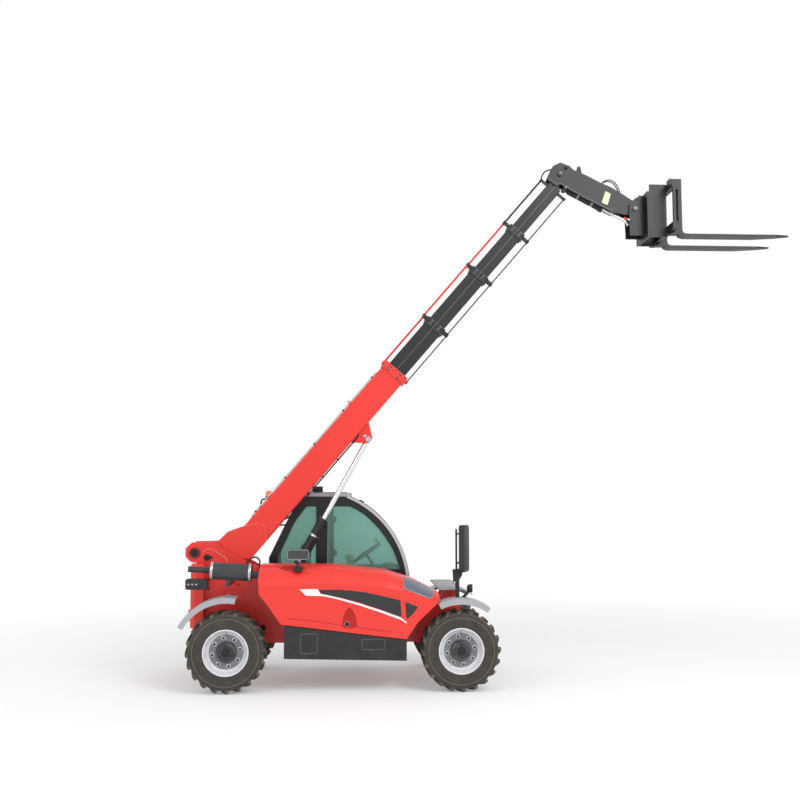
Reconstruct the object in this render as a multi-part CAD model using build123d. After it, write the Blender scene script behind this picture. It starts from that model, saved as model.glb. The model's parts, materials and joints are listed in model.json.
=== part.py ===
"""Compact telescopic handler with a five-section boom, raised and run out, and a pair of pallet forks.

Millimetres. X points forward, Y to the machine's left and Z up. The pieces are drawn with X = 0 on the rear
axle and moved at export, so that the origin lies on the ground at the middle of the overall length.
"""
from build123d import *
import math
import os

# ---------------------------------------------------------------- wheels and axles
wheelbase = 2420
track = 1500                # between the tyres' centre planes
tyre_radius = 415           # out to the lugs' tips
tyre_width = 305
rim_radius = 236            # outside of the rim's flange
rim_width = 285
rim_wall = 9
disc_recess = 78            # rim's outer edge to the disc
hub_radius = 108
kingpin_offset = 100        # tyre's centre plane to the kingpin
kingpin_radius = 22
yoke_height = 118           # axle centre to the inside of the yoke's arm
yoke_arm = 26
axle_tube_radius = 62
running_gap = 0.3           # a turning or sliding face from its seat
moving_gap = 10             # between bodies that pass each other

# ---------------------------------------------------------------- boom
boom_y = -120               # the boom's middle plane, right of the machine's centre
pivot_x = -417
pivot_z = 1394
boom_angle = 49.5           # above the horizontal, as it stands
tube_drop = 355             # pivot to the tubes' centre line, square to the boom
base_rear = 330             # along the boom from the pivot
base_front = 2970
base_height = 290
base_width = 240
base_wall = 10
root_plate = 20
boss_radius = 105
boom_pin_radius = 40
stroke = 560                # each section's travel in the one before it
section_overlap = 620
collar_length = 75
pad_thickness = 3.0
guide_tube_rise = 61        # over the largest section's top
# each section's front from the pivot, its outer height and width
section_table = [
    {"name": "boom_section_2", "front": 3672, "height": 222, "width": 180},
    {"name": "boom_section_3", "front": 4450, "height": 202, "width": 160},
    {"name": "boom_section_4", "front": 5115, "height": 182, "width": 140},
    {"name": "boom_section_5", "front": 5880, "height": 162, "width": 120},
]
section_wall = 5
guide_tube_radius = 11
# each section's guide tube has its own place across the boom, so that they pass when it runs in
guide_tube_places = [54, -54, 18, -18]
guide_lug_radius = 17

# ---------------------------------------------------------------- lift cylinder
lift_base_x = 330
lift_base_z = 590
lift_eye_along = 2171       # along the boom from the pivot
lift_eye_drop = 620
lift_barrel_radius = 55
lift_barrel_wall = 10
lift_rod_radius = 30
lift_barrel_length = 1330
lift_eye_radius = 38
lift_eye_width = 56
lift_pin_radius = 20

# ---------------------------------------------------------------- head and carriage
head_plate = 18
head_pin_x = 4535           # the carriage's pin
head_pin_z = 5310
nose_radius = 78
carriage_pin_radius = 28
tilt_base_x = 3735
tilt_base_z = 5560
tilt_eye_back = 45          # carriage pin to the tilt cylinder's eye
tilt_eye_drop = 145
tilt_barrel_radius = 40
tilt_barrel_wall = 7
tilt_barrel_length = 500
tilt_rod_radius = 18
tilt_eye_radius = 28
tilt_pin_radius = 14
tilt_eye_width = 46
carriage_width = 900
carriage_back = 4640
carriage_bar = 60
carriage_low = 4950
carriage_high = 5590
fork_spacing = 540          # between the forks' middles
fork_width = 100
fork_thickness = 42
fork_face_x = 5010          # front of the upright shank
fork_tip_x = 6248
fork_top_z = 5600
fork_blade_z = 4968         # top of the blade

# ---------------------------------------------------------------- chassis
tower_plate = 25
tower_half_gap = 150        # boom's middle plane to the inside of a tower plate
counterweight_rear = -449
tower_rear = -300
frame_low = 430
axle_seat = 510             # top of the axles' pads
axle_clear = 550            # the rails' underside over the axles
frame_front = 2470
frame_half_width = 330
bay_floor = 600             # underside of the engine bay's floor

# ---------------------------------------------------------------- cab
cab_right = 90
cab_left = 880
cab_skin = 45               # posts and side walls
belt_z = 1268
roof_z = 2023
door_hinge_x = 1006
door_hinge_y = 892
glass = 6

# ---------------------------------------------------------------- bonnet on the right
bonnet_inner = -312
bonnet_outer = -880
bonnet_wall = 8
bonnet_hinge_y = -301
bonnet_hinge_z = 1246


def box(x0, x1, y0, y1, z0, z1):
    """A block between two corners."""
    return Pos((x0 + x1) / 2, (y0 + y1) / 2, (z0 + z1) / 2) * Box(abs(x1 - x0), abs(y1 - y0), abs(z1 - z0))


def plate(outline, y0, y1):
    """A side outline of (x, z) points, or a ready face in the XZ plane, given its thickness from y0 to y1."""
    face = outline
    if isinstance(outline, list):
        face = make_face(Polyline(*[(x, 0, z) for x, z in outline], close=True))
    return Pos(0, y0, 0) * extrude(face, amount=y1 - y0, dir=(0, 1, 0))


def rod_y(x, z, radius, y0, y1):
    """A round bar across the machine."""
    return Pos(x, (y0 + y1) / 2, z) * Rot(90, 0, 0) * Cylinder(radius, abs(y1 - y0))


def rod_x(y, z, radius, x0, x1):
    """A round bar along X."""
    return Pos((x0 + x1) / 2, y, z) * Rot(0, 90, 0) * Cylinder(radius, abs(x1 - x0))


def rod_z(x, y, radius, z0, z1):
    """An upright round bar."""
    return Pos(x, y, (z0 + z1) / 2) * Cylinder(radius, abs(z1 - z0))


def tube_x(x0, x1, width, height, wall, corner):
    """A rounded box tube along X, centred on the line Y = Z = 0."""
    outer = Plane.YZ.offset(x0) * RectangleRounded(width, height, corner)
    inner = Plane.YZ.offset(x0) * RectangleRounded(width - 2 * wall, height - 2 * wall, max(corner - wall, 1))
    return extrude(outer - inner, amount=x1 - x0)


def fused(pieces):
    """One shape of several that touch or cross."""
    whole = pieces[0]
    for piece in pieces[1:]:
        whole = whole + piece
    return whole


def mirrored(shape, y=0):
    """The piece on the other side of the plane at y."""
    return mirror(shape, about=Plane.XZ.offset(-y))


nodes = {}                  # node name to its shape, in the drawing frame
boom_frame = Pos(pivot_x, boom_y, pivot_z) * Rot(0, -boom_angle, 0)


def from_boom(along, up):
    """The drawing frame's (x, z) of a point given along and square to the boom."""
    point = boom_frame * Pos(along, 0, up)
    return point.position.X, point.position.Z


# ================================================================ wheels, knuckles and axles
def bead_line():
    """The rim's outside between its flanges, as (radius, y) from the outer edge inwards; the tyre sits on it."""
    half = rim_width / 2
    barrel = rim_radius - 26
    right = [(rim_radius, 8 - half), (barrel + rim_wall, 20 - half), (barrel, 44 - half)]
    return right + [(r, -y) for r, y in reversed(right)]


def make_tyre():
    """A tyre about the Y axis, its outside towards -Y."""
    half = tyre_width / 2
    crown = tyre_radius - 26
    wall = [(rim_radius + 12, half * 0.97), ((rim_radius + tyre_radius) / 2, half), (crown - 4, half * 0.97),
            (tyre_radius - 10, half * 0.82), (tyre_radius, half * 0.6)]
    section = bead_line() + wall + [(r, -y) for r, y in reversed(wall)]
    return revolve(make_face(Polyline(*[(r, y, 0) for r, y in section], close=True)), Axis.Y)


def make_wheel():
    """A rim with its disc and the hub's end cover, about the Y axis, its outside towards -Y."""
    half = rim_width / 2
    barrel = rim_radius - 26
    disc_y = -half + disc_recess
    outline = [(rim_radius, -half)] + bead_line() + [
        (rim_radius, half), (rim_radius - 12, half), (barrel - rim_wall, half - 50),
        (barrel - rim_wall, disc_y + 30), (barrel - rim_wall - 14, disc_y + 16), (hub_radius - 20, disc_y + 16),
        (hub_radius - 20, disc_y), (barrel - rim_wall - 20, disc_y), (barrel - rim_wall, disc_y - 16),
        (barrel - rim_wall, 48 - half), (rim_radius - 12, -half),
    ]
    rim = revolve(make_face(Polyline(*[(r, y, 0) for r, y in outline], close=True)), Axis.Y)
    hub_front = -half + 18
    cover = [
        (0, hub_front), (hub_radius - 26, hub_front), (hub_radius - 12, hub_front + 14),
        (hub_radius, disc_y - 6), (hub_radius, disc_y), (0, disc_y),
    ]
    hub = revolve(make_face(Polyline(*[(r, y, 0) for r, y in cover], close=True)), Axis.Y)
    return rim + hub


def make_knuckle():
    """A steering knuckle at the axle's centre height, kingpin on the Z axis, its wheel towards -Y."""
    disc_y = -kingpin_offset - rim_width / 2 + disc_recess + 16
    body = rod_z(0, 0, 62, -yoke_height + 6, yoke_height - 6)
    flange = rod_y(0, 0, hub_radius - 8, disc_y + running_gap, -40)
    pins = rod_z(0, 0, kingpin_radius, -yoke_height - yoke_arm + 4, yoke_height + yoke_arm - 4)
    return body + flange + pins


def make_axle(x):
    """An axle beam across the machine at x, with a yoke for each kingpin."""
    centre_z = tyre_radius
    kingpin_y = track / 2 - kingpin_offset
    beam = rod_y(x, centre_z, axle_tube_radius, -kingpin_y + 95, kingpin_y - 95)
    casing = Pos(x, 0, centre_z) * Sphere(125)
    nose = rod_x(0, centre_z, 58, x - 40, x + (190 if x < wheelbase / 2 else -190))
    whole = beam + casing + nose
    for side in (-1, 1):
        y = side * kingpin_y
        web = box(x - 48, x + 48, side * (kingpin_y - 118), side * (kingpin_y - 78),
                  centre_z - yoke_height - yoke_arm, centre_z + yoke_height + yoke_arm)
        for up in (-1, 1):
            low = centre_z + up * yoke_height
            high = centre_z + up * (yoke_height + yoke_arm)
            arm = box(x - 48, x + 48, side * (kingpin_y - 118), y, low, high)
            arm = arm + rod_z(x, y, 48, low, high)
            web = web + arm
        web = web - rod_z(x, y, kingpin_radius + running_gap, centre_z - 200, centre_z + 200)
        whole = whole + web
        for dx in (-1, 1):
            pad = box(x + dx * 70 - 28, x + dx * 70 + 28, side * 250, side * 310, centre_z + 30, axle_seat)
            whole = whole + pad
    steering = rod_y(x - 110 if x < wheelbase / 2 else x + 110, centre_z, 30, -230, 230)
    steering = steering + rod_y(x - 110 if x < wheelbase / 2 else x + 110, centre_z, 14, -420, 420)
    bridge_x = (x - 110, x) if x < wheelbase / 2 else (x, x + 110)
    steering = steering + box(*bridge_x, -160, -130, centre_z - 25, centre_z + 25)
    steering = steering + box(*bridge_x, 130, 160, centre_z - 25, centre_z + 25)
    return whole + steering


right_wheel = make_wheel()
right_tyre = Rot(0, 140, 0) * make_tyre()
right_knuckle = make_knuckle()
for end, axle_x in (("rear", 0), ("front", wheelbase)):
    for side, sign in (("right", -1), ("left", 1)):
        hub_place = Pos(axle_x, sign * track / 2, tyre_radius)
        pin_place = Pos(axle_x, sign * (track / 2 - kingpin_offset), tyre_radius)
        turn = Rot(0, 0, 0) if sign < 0 else Rot(0, 0, 180)
        nodes[f"rim_{end}_{side}"] = hub_place * turn * right_wheel
        nodes[f"tyre_{end}_{side}"] = hub_place * turn * right_tyre
        nodes[f"knuckle_{end}_{side}"] = pin_place * turn * right_knuckle
    nodes[f"axle_{end}"] = make_axle(axle_x)


# ================================================================ boom
def make_boom_base():
    """The outer section with its root plates, mouth flange and the lift cylinder's ears, in the boom's frame."""
    centre = -tube_drop
    top = centre + base_height / 2
    low = centre - base_height / 2
    tube = Pos(0, 0, centre) * tube_x(base_rear, base_front - 85, base_width, base_height, base_wall, 18)
    mouth = Pos(0, 0, centre) * tube_x(base_front - 85, base_front, base_width + 24, base_height + 24, 22, 20)
    outline = [
        (-30, 96), (70, 84), (250, -106), (392, -118), (560, top - 4), (712, top - 126), (692, low + 96),
        (600, low), (base_rear, low), (52, -92), (-40, -90),
    ]
    body = tube + mouth
    for side in (-1, 1):
        inner = side * base_width / 2
        outer = side * (base_width / 2 + root_plate)
        cheek = plate(outline, min(inner, outer), max(inner, outer))
        cheek = cheek + rod_y(0, 0, boss_radius, inner, outer)
        body = body + cheek
        ear_x = lift_eye_along
        ear = [(ear_x - 150, low + 2), (ear_x + 150, low + 2), (ear_x + 40, -lift_eye_drop - 30),
               (ear_x - 30, -lift_eye_drop - 32)]
        ear_in = side * (lift_eye_width / 2 + 6)
        ear_out = side * (lift_eye_width / 2 + 24)
        body = body + plate(ear, min(ear_in, ear_out), max(ear_in, ear_out))
    body = body + rod_y(0, 0, boss_radius - 24, -base_width / 2, base_width / 2)
    body = body + box(95, base_rear + 12, -base_width / 2, base_width / 2, centre - 60, centre - 40)
    body = body - rod_y(0, 0, boom_pin_radius + running_gap, -200, 200)
    eye_nut = rod_y(2347, top + 20, 22, -10, 10) + box(2325, 2369, -10, 10, top - 2, top + 20)
    return body + (eye_nut - rod_y(2347, top + 22, 10, -20, 20))


def collar_pads(front, length, inside, height, width):
    """Four wear pads inside a collar, one on each face of the next section."""
    pads = []
    top = height / 2 + running_gap
    side = width / 2 + running_gap
    top_room = inside["height"] / 2
    side_room = inside["width"] / 2
    for up in (-1, 1):
        pads.append(Pos(0, 0, 0) * box(front - length, front - 8, -width / 4, width / 4, up * top, up * top_room))
        pads.append(box(front - length, front - 8, up * side, up * side_room, -height / 5, height / 5))
    return pads


boom_centre = boom_frame * Pos(0, 0, -tube_drop)
base_inside = {"height": base_height + 24 - 44, "width": base_width + 24 - 44}
guide_z = section_table[0]["height"] / 2 + guide_tube_rise
under_z = -section_table[0]["height"] / 2 - guide_tube_rise


def guide_lug(front, index, up, hole):
    """A small plate on a collar, with a hole for a guide tube."""
    y = guide_tube_places[index]
    z = guide_z if up > 0 else under_z
    near = 60 * up
    lug = box(front - 34, front - 6, y - 13, y + 13, near, z)
    lug = lug + rod_x(y, z, guide_lug_radius, front - 34, front - 6)
    return lug - rod_x(y, z, hole, front - 60, front + 20)


def make_section(index):
    """One inner section: its tube, the collar at its front and the guide tubes that it carries back."""
    row = section_table[index]
    last = index == len(section_table) - 1
    previous_front = base_front if index == 0 else section_table[index - 1]["front"]
    rear = previous_front - section_overlap
    height, width, front = row["height"], row["width"], row["front"]
    pieces = tube_x(rear, front, width, height, section_wall, 12)
    guides = []
    if not last:
        ring = tube_x(front - collar_length, front, width + 26, height + 26, 13, 12)
        pieces = pieces + ring
        for up in (-1, 1):
            hole = guide_tube_radius + 1.0
            lug = guide_lug(front, index + 1, up, hole) - box(front - 90, front + 10, -width, width,
                                                              -height / 2 + 1, height / 2 - 1)
            pieces = pieces + lug
    own_y = guide_tube_places[index]
    start = previous_front - 30
    reach = front - 20 if not last else front - 120
    top_tube = rod_x(own_y, guide_z, guide_tube_radius, start - 20, reach)
    low_tube = rod_x(own_y, under_z, guide_tube_radius - 4, start - 20, reach)
    for tube, up in ((top_tube, 1), (low_tube, -1)):
        holder = guide_lug(front if not last else front - 100, index, up, guide_tube_radius - 8)
        holder = holder - box(front - 300, front + 10, -width, width, -height / 2 + 1, height / 2 - 1)
        pieces = pieces + holder + tube
    if last:
        low = -height / 2
        corner = [(front - 90, low - 5), (front + 5, low - 5), (front + 5, low + 140), (front, low + 136),
                  (front - 90, low)]
        pieces = pieces - plate(corner, -width, width)
    return pieces


def make_mouth_fittings():
    """Wear pads and guide lugs that the outer section's mouth carries, on the boom's centre line."""
    first = section_table[0]
    pads = collar_pads(base_front, 70, base_inside, first["height"], first["width"])
    return pads


nodes["boom_base"] = boom_frame * make_boom_base()
mouth_lugs = []
for lug_side in (-1, 1):
    lug = guide_lug(base_front, 0, lug_side, guide_tube_radius + 1.0)
    mouth_lugs.append(lug - box(base_front - 90, base_front + 10, -200, 200,
                                -base_height / 2 - 12, base_height / 2 + 12))
nodes["boom_base"] = nodes["boom_base"] + fused([boom_centre * piece for piece in mouth_lugs])
pads = {"boom_base_pads": make_mouth_fittings()}
for section_index, section_row in enumerate(section_table):
    nodes[section_row["name"]] = boom_centre * make_section(section_index)
    if section_index < len(section_table) - 1:
        following = section_table[section_index + 1]
        room = {"height": section_row["height"] - 2 * section_wall, "width": section_row["width"] - 2 * section_wall}
        pads[section_row["name"] + "_pads"] = collar_pads(
            section_row["front"], 70, room, following["height"], following["width"])
for pad_name, pad_list in pads.items():
    nodes[pad_name] = Compound(children=[boom_centre * pad for pad in pad_list])


# ================================================================ head with the carriage's pin
def make_head():
    """Two side plates joined by a top plate, a nose boss and the tilt cylinder's lugs, in the drawing frame."""
    half = section_table[-1]["width"] / 2
    outline = [
        (3677, 5851), (3593, 5810), (3523, 5655), (3623, 5572), (3679, 5596), (3811, 5513), (3966, 5425),
        (4154, 5337), (4277, 5274), (head_pin_x - 20, head_pin_z - nose_radius + 2),
        (head_pin_x + 40, head_pin_z + nose_radius - 12), (4412, 5478), (4271, 5566), (4137, 5622), (3971, 5708),
        (3827, 5768), (3783, 5813),
    ]
    window = rod_y(3739, 5783, 19, -400, 200)
    shape = None
    for side in (-1, 1):
        inner = boom_y + side * half
        outer = boom_y + side * (half + head_plate)
        cheek = plate(outline, min(inner, outer), max(inner, outer))
        cheek = cheek + rod_y(head_pin_x, head_pin_z, nose_radius, inner, outer)
        cheek = cheek + rod_y(3671, 5719, 34, inner, boom_y + side * (half + head_plate + 16))
        shape = cheek if shape is None else shape + cheek
    spine = [(3593, 5810), (3677, 5851), (3783, 5813), (3827, 5768), (3971, 5708), (4137, 5622), (4271, 5566),
             (4400, 5486), (4388, 5472), (4262, 5550), (4128, 5604), (3964, 5690), (3818, 5750), (3772, 5794),
             (3678, 5830), (3606, 5796)]
    shape = shape + plate(spine, boom_y - half, boom_y + half)
    shape = shape + rod_y(head_pin_x, head_pin_z, carriage_pin_radius + 22, boom_y - half, boom_y + half)
    web = [(3960, 5560), (4200, 5470), (4200, 5456), (3960, 5546)]
    shape = shape + plate(web, boom_y - half, boom_y + half)
    for side in (-1, 1):
        lug_in = boom_y + side * (tilt_eye_width / 2 + 6)
        lug_out = boom_y + side * half
        shape = shape + rod_y(tilt_base_x, tilt_base_z, 32, lug_in, lug_out)
    shape = shape - rod_y(head_pin_x, head_pin_z, carriage_pin_radius + running_gap, -400, 200)
    shape = shape - rod_y(tilt_base_x, tilt_base_z, tilt_pin_radius + running_gap, -400, 200)
    return shape - window


head_shape = make_head()
section_5 = section_table[-1]
head_room = boom_centre * Pos(0, 0, 0) * box(section_5["front"] - 500, section_5["front"] + 0.2,
                                             -section_5["width"] / 2, section_5["width"] / 2,
                                             -section_5["height"] / 2, section_5["height"] / 2)
nodes["boom_head"] = head_shape - head_room


def make_carriage():
    """The fork carriage: two clevis plates at the head's nose, a coupler frame and two fork bars."""
    nose_half = section_table[-1]["width"] / 2 + head_plate
    near = nose_half + 6
    far = near + 20
    outline = [
        (head_pin_x - 62, head_pin_z + 60), (head_pin_x + 10, head_pin_z + 130), (carriage_back, head_pin_z + 150),
        (carriage_back, carriage_low + 50), (head_pin_x - 60, carriage_low + 50), (head_pin_x - 70, head_pin_z - 60),
    ]
    lug_outline = [
        (head_pin_x - tilt_eye_back - 34, head_pin_z - tilt_eye_drop + 10),
        (head_pin_x - tilt_eye_back + 10, head_pin_z - tilt_eye_drop + 42), (carriage_back, head_pin_z - 130),
        (carriage_back, head_pin_z - 215), (head_pin_x - tilt_eye_back - 10, head_pin_z - tilt_eye_drop - 36),
    ]
    shape = None
    for side in (-1, 1):
        ends = sorted((boom_y + side * near, boom_y + side * far))
        cheek = plate(outline, *ends)
        lug_ends = sorted((boom_y + side * (tilt_eye_width / 2 + 7), boom_y + side * (tilt_eye_width / 2 + 27)))
        cheek = cheek + plate(lug_outline, *lug_ends) + box(carriage_back - 2, carriage_back + 10, *ends, 5000, 5300)
        shape = cheek if shape is None else shape + cheek
    y0 = boom_y - carriage_width / 2
    y1 = boom_y + carriage_width / 2
    coupler = [box(carriage_back, carriage_back + 30, boom_y - 230, boom_y + 230, carriage_low, head_pin_z + 170)]
    for side in (-1, 1):
        a = boom_y + side * 230
        b = boom_y + side * 205
        coupler.append(box(carriage_back + 30, 4860, min(a, b), max(a, b), carriage_low, carriage_high - 30))
    bars = [
        box(4860, 4860 + carriage_bar, y0, y1, carriage_high - 120, carriage_high - 40),
        box(4860, 4860 + carriage_bar, y0, y1, carriage_low + 40, carriage_low + 120),
    ]
    for y in (y0, y0 + carriage_width / 2 - 15, y1 - 30):
        bars.append(box(4868, 4900, y, y + 30, carriage_low + 60, carriage_high - 60))
    shape = fused([shape] + coupler + bars)
    tie = rod_y(head_pin_x, head_pin_z, carriage_pin_radius, boom_y - far - 14, boom_y + far + 14)
    return shape + tie


def make_fork(y):
    """One fork: hooked shank, bent heel and a blade that thins to its tip."""
    back = fork_face_x - fork_thickness
    side = [
        (back, fork_top_z), (fork_face_x, fork_top_z), (fork_face_x, fork_blade_z + 40),
        (fork_face_x + 12, fork_blade_z + 12), (fork_face_x + 40, fork_blade_z),
        (fork_tip_x, fork_blade_z), (fork_tip_x, fork_blade_z - 14), (fork_tip_x - 420, fork_blade_z - 40),
        (fork_face_x + 20, fork_blade_z - fork_thickness), (back + 12, fork_blade_z - fork_thickness + 16),
        (back, fork_blade_z),
    ]
    blade = plate(side, y - fork_width / 2, y + fork_width / 2)
    tip_cut = Pos(fork_tip_x, y, 0)
    for turn in (-1, 1):
        wedge = [(fork_tip_x - 160, y + turn * fork_width / 2), (fork_tip_x + 5, y + turn * fork_width / 2),
                 (fork_tip_x + 5, y + turn * 18)]
        wedge_face = make_face(Polyline(*[(a, b, 4800) for a, b in wedge], close=True))
        blade = blade - extrude(wedge_face, amount=300, dir=(0, 0, 1))
    hooks = []
    for z0, z1 in ((carriage_high - 40 + running_gap, fork_top_z), (carriage_low + 12, carriage_low + 40 - running_gap)):
        hooks.append(box(4872, back, y - fork_width / 2, y + fork_width / 2, z0, z1))
    for z0, z1 in ((carriage_high - 110, carriage_high - 40), (carriage_low + 40, carriage_low + 110)):
        hooks.append(box(4860 + carriage_bar + running_gap, back, y - fork_width / 2, y + fork_width / 2, z0, z1))
    return fused([blade] + hooks)


nodes["fork_carriage"] = make_carriage()
nodes["forks"] = Compound(children=[make_fork(boom_y - fork_spacing / 2), make_fork(boom_y + fork_spacing / 2)])


# ================================================================ cylinders
def make_cylinder(start, end, barrel_length, barrel_radius, wall, rod_radius, base_radius, eye_radius,
                  pin_radius, base_pin, eye_width, piston_x):
    """A barrel with its base eye and pin, and a rod with its eye, from start to end in the boom's plane."""
    dx = end[0] - start[0]
    dz = end[1] - start[1]
    length = math.hypot(dx, dz)
    place = Pos(start[0], boom_y, start[1]) * Rot(0, -math.degrees(math.atan2(dz, dx)), 0)
    base = rod_y(0, 0, base_radius, -eye_width / 2, eye_width / 2)
    neck = rod_x(0, 0, rod_radius + 6, base_radius - 12, base_radius + 24)
    shell = rod_x(0, 0, barrel_radius, base_radius + 20, barrel_length)
    bore = rod_x(0, 0, barrel_radius - wall, base_radius + 50, barrel_length + 1)
    gland = rod_x(0, 0, barrel_radius + 6, barrel_length - 50, barrel_length)
    gland = gland - rod_x(0, 0, rod_radius + running_gap, barrel_length - 60, barrel_length + 1)
    barrel = (base + neck + shell - bore) + gland
    barrel = barrel + rod_y(0, 0, pin_radius, -base_pin, base_pin)
    piston = rod_x(0, 0, barrel_radius - wall - running_gap, piston_x - 50, piston_x)
    rod = rod_x(0, 0, rod_radius, piston_x - 50, length - eye_radius + 8) + piston
    eye = rod_y(length, 0, eye_radius, -eye_width / 2, eye_width / 2)
    return place * barrel, place * (rod + eye)


lift_eye = from_boom(lift_eye_along, -lift_eye_drop)
nodes["lift_barrel"], nodes["lift_rod"] = make_cylinder(
    (lift_base_x, lift_base_z), lift_eye, lift_barrel_length, lift_barrel_radius, lift_barrel_wall,
    lift_rod_radius, 60, lift_eye_radius, lift_pin_radius + 12, tower_half_gap, lift_eye_width, 1080)
tilt_eye = (head_pin_x - tilt_eye_back, head_pin_z - tilt_eye_drop)
nodes["tilt_barrel"], nodes["tilt_rod"] = make_cylinder(
    (tilt_base_x, tilt_base_z), tilt_eye, tilt_barrel_length, tilt_barrel_radius, tilt_barrel_wall,
    tilt_rod_radius, 30, tilt_eye_radius, tilt_pin_radius, section_table[-1]["width"] / 2, tilt_eye_width, 300)


# ================================================================ chassis
bay_wall = [(340, 880), (340, 1215), (1090, 1225), (1640, 1150), (1900, 1050), (2000, 880)]
hood_hinges = (460, 1040)
rail_right = boom_y - tower_half_gap - tower_plate
rail_left = boom_y + tower_half_gap + tower_plate


def make_main_frame():
    """Tower plates that run on as rails, a third rail under the cab, cross plates and the floor."""
    rail = [
        (tower_rear, axle_clear), (tower_rear, 1290), (pivot_x - 30, 1290), (pivot_x - 98, pivot_z - 40),
        (pivot_x - 98, pivot_z + 50), (pivot_x - 30, pivot_z + 112), (-172, 1512), (-135, 1450), (187, 1289),
        (560, 1085), (700, 900), (2240, 880), (2300, 1012), (2430, 1012), (frame_front, 900),
        (frame_front, axle_clear), (2180, axle_clear), (2130, frame_low), (290, frame_low), (240, axle_clear),
    ]
    shape = None
    for side in (-1, 1):
        ends = sorted((boom_y + side * tower_half_gap, boom_y + side * (tower_half_gap + tower_plate)))
        cheek = plate(rail, *ends)
        cheek = cheek - rod_y(pivot_x, pivot_z, boom_pin_radius + running_gap, -400, 200)
        cheek = cheek - rod_y(lift_base_x, lift_base_z, lift_pin_radius + 12 + running_gap, -400, 200)
        shape = cheek if shape is None else shape + cheek
    right_in = boom_y - tower_half_gap
    left_in = boom_y + tower_half_gap
    shape = shape + box(290, 2130, right_in, left_in, frame_low, frame_low + 14)
    shape = shape + box(-180, -164, right_in, left_in, axle_clear + 5, 800)
    shape = shape + box(2330, 2346, right_in, left_in, axle_clear + 5, 860)
    for x in (0, wheelbase):
        shape = shape + box(x - 110, x + 110, rail_right + 1, rail_right + 60, axle_seat, axle_clear + 8)
    return shape


def make_side_rail():
    """The third rail, under the cab, with its cross members, belly plate, axle pads and cab outriggers."""
    left_out = boom_y + tower_half_gap + tower_plate
    side_rail = [(-260, 520), (-260, 640), (500, 640), (560, 470), (1850, 470), (1900, 640), (frame_front, 640),
                 (frame_front, 520), (2180, 520), (2130, frame_low), (290, frame_low), (240, 520)]
    shape = plate(side_rail, frame_half_width - 20, frame_half_width)
    shape = shape + box(290, 2130, left_out, frame_half_width, frame_low, frame_low + 14)
    for x in (-260, 240, 2180, 2284):
        shape = shape + box(x, x + 16, left_out, frame_half_width, 520, 640)
    for x in (0, wheelbase):
        shape = shape + box(x - 110, x + 110, 240, 320, axle_seat, axle_clear + 8)
    for x in (900, 1500):
        shape = shape + box(x, x + 60, frame_half_width, cab_left - 40, 440, 480)
    return shape


def make_engine_bay():
    """The engine's floor and the wall behind it, on the right rail, with the bonnet's hinge pins."""
    shape = box(640, 1500, -840, rail_right, bay_floor, bay_floor + 16)
    shape = shape + plate(bay_wall, rail_right - 11, rail_right)
    for x in hood_hinges:
        shape = shape + rod_x(bonnet_hinge_y, bonnet_hinge_z, 6, x - 30, x + 30)
        for dx in (-24, 24):
            shape = shape + box(x + dx - 6, x + dx + 6, bonnet_hinge_y - 6, bonnet_hinge_y + 6, 1200, bonnet_hinge_z + 6)
    return shape


def make_counterweight():
    """The cast rear weight, slotted for the boom's root, with a drawbar jaw."""
    block = box(counterweight_rear, tower_rear, -390, 390, 600, 1285)
    block = fillet(block.edges().filter_by(Axis.Z).group_by(Axis.X)[0], 70)
    block = fillet(block.faces().sort_by(Axis.Z)[-1].edges().group_by(Axis.X)[0], 30)
    block = block - box(counterweight_rear - 5, tower_rear + 5, boom_y - 190, boom_y + 190, 1080, 1300)
    jaw = box(counterweight_rear - 60, counterweight_rear + 20, -60, 60, 640, 668)
    jaw = jaw + box(counterweight_rear - 60, counterweight_rear + 20, -60, 60, 728, 756)
    return block + jaw - rod_z(counterweight_rear - 26, 0, 17, 600, 800)


nodes["main_frame"] = make_main_frame()
nodes["side_rail"] = make_side_rail()
nodes["engine_bay"] = make_engine_bay()
nodes["counterweight"] = make_counterweight()
nodes["boom_pin"] = rod_y(pivot_x, pivot_z, boom_pin_radius, boom_y - 192, boom_y + 192)
pin_heads = [rod_y(pivot_x, pivot_z, boom_pin_radius + 18, boom_y + side * 175.3, boom_y + side * 192)
             for side in (-1, 1)]
nodes["boom_pin"] = fused([nodes["boom_pin"]] + pin_heads)
nodes["engine_block"] = box(760, 1460, -780, -352, bay_floor + 16, 1080)
skirt = plate([(593, 350), (1854, 322), (1854, 528), (593, 685)], -880, -866)
tank = plate([(600, 352), (1848, 326), (1848, 520), (1400, bay_floor), (600, bay_floor)], -866, -420)
nodes["side_tanks"] = Compound(children=[skirt + tank, box(700, 1640, 420, 860, 330, 440)])

exhaust_can = Pos(31, -750, 1226) * Rot(0, 93, 0) * Cylinder(88, 430)
exhaust_pipe = Pos(-290, -720, 1245) * Rot(0, 93, 0) * Cylinder(31, 250)
exhaust_neck = Pos(300, -715, 1190) * Rot(0, 93, 0) * Cylinder(40, 150)
exhaust_foot = box(-20, 20, -740, -295, 1080, 1100) + box(-20, 20, -790, -720, 1080, 1150)
nodes["exhaust"] = exhaust_can + exhaust_pipe + exhaust_neck + exhaust_foot


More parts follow.
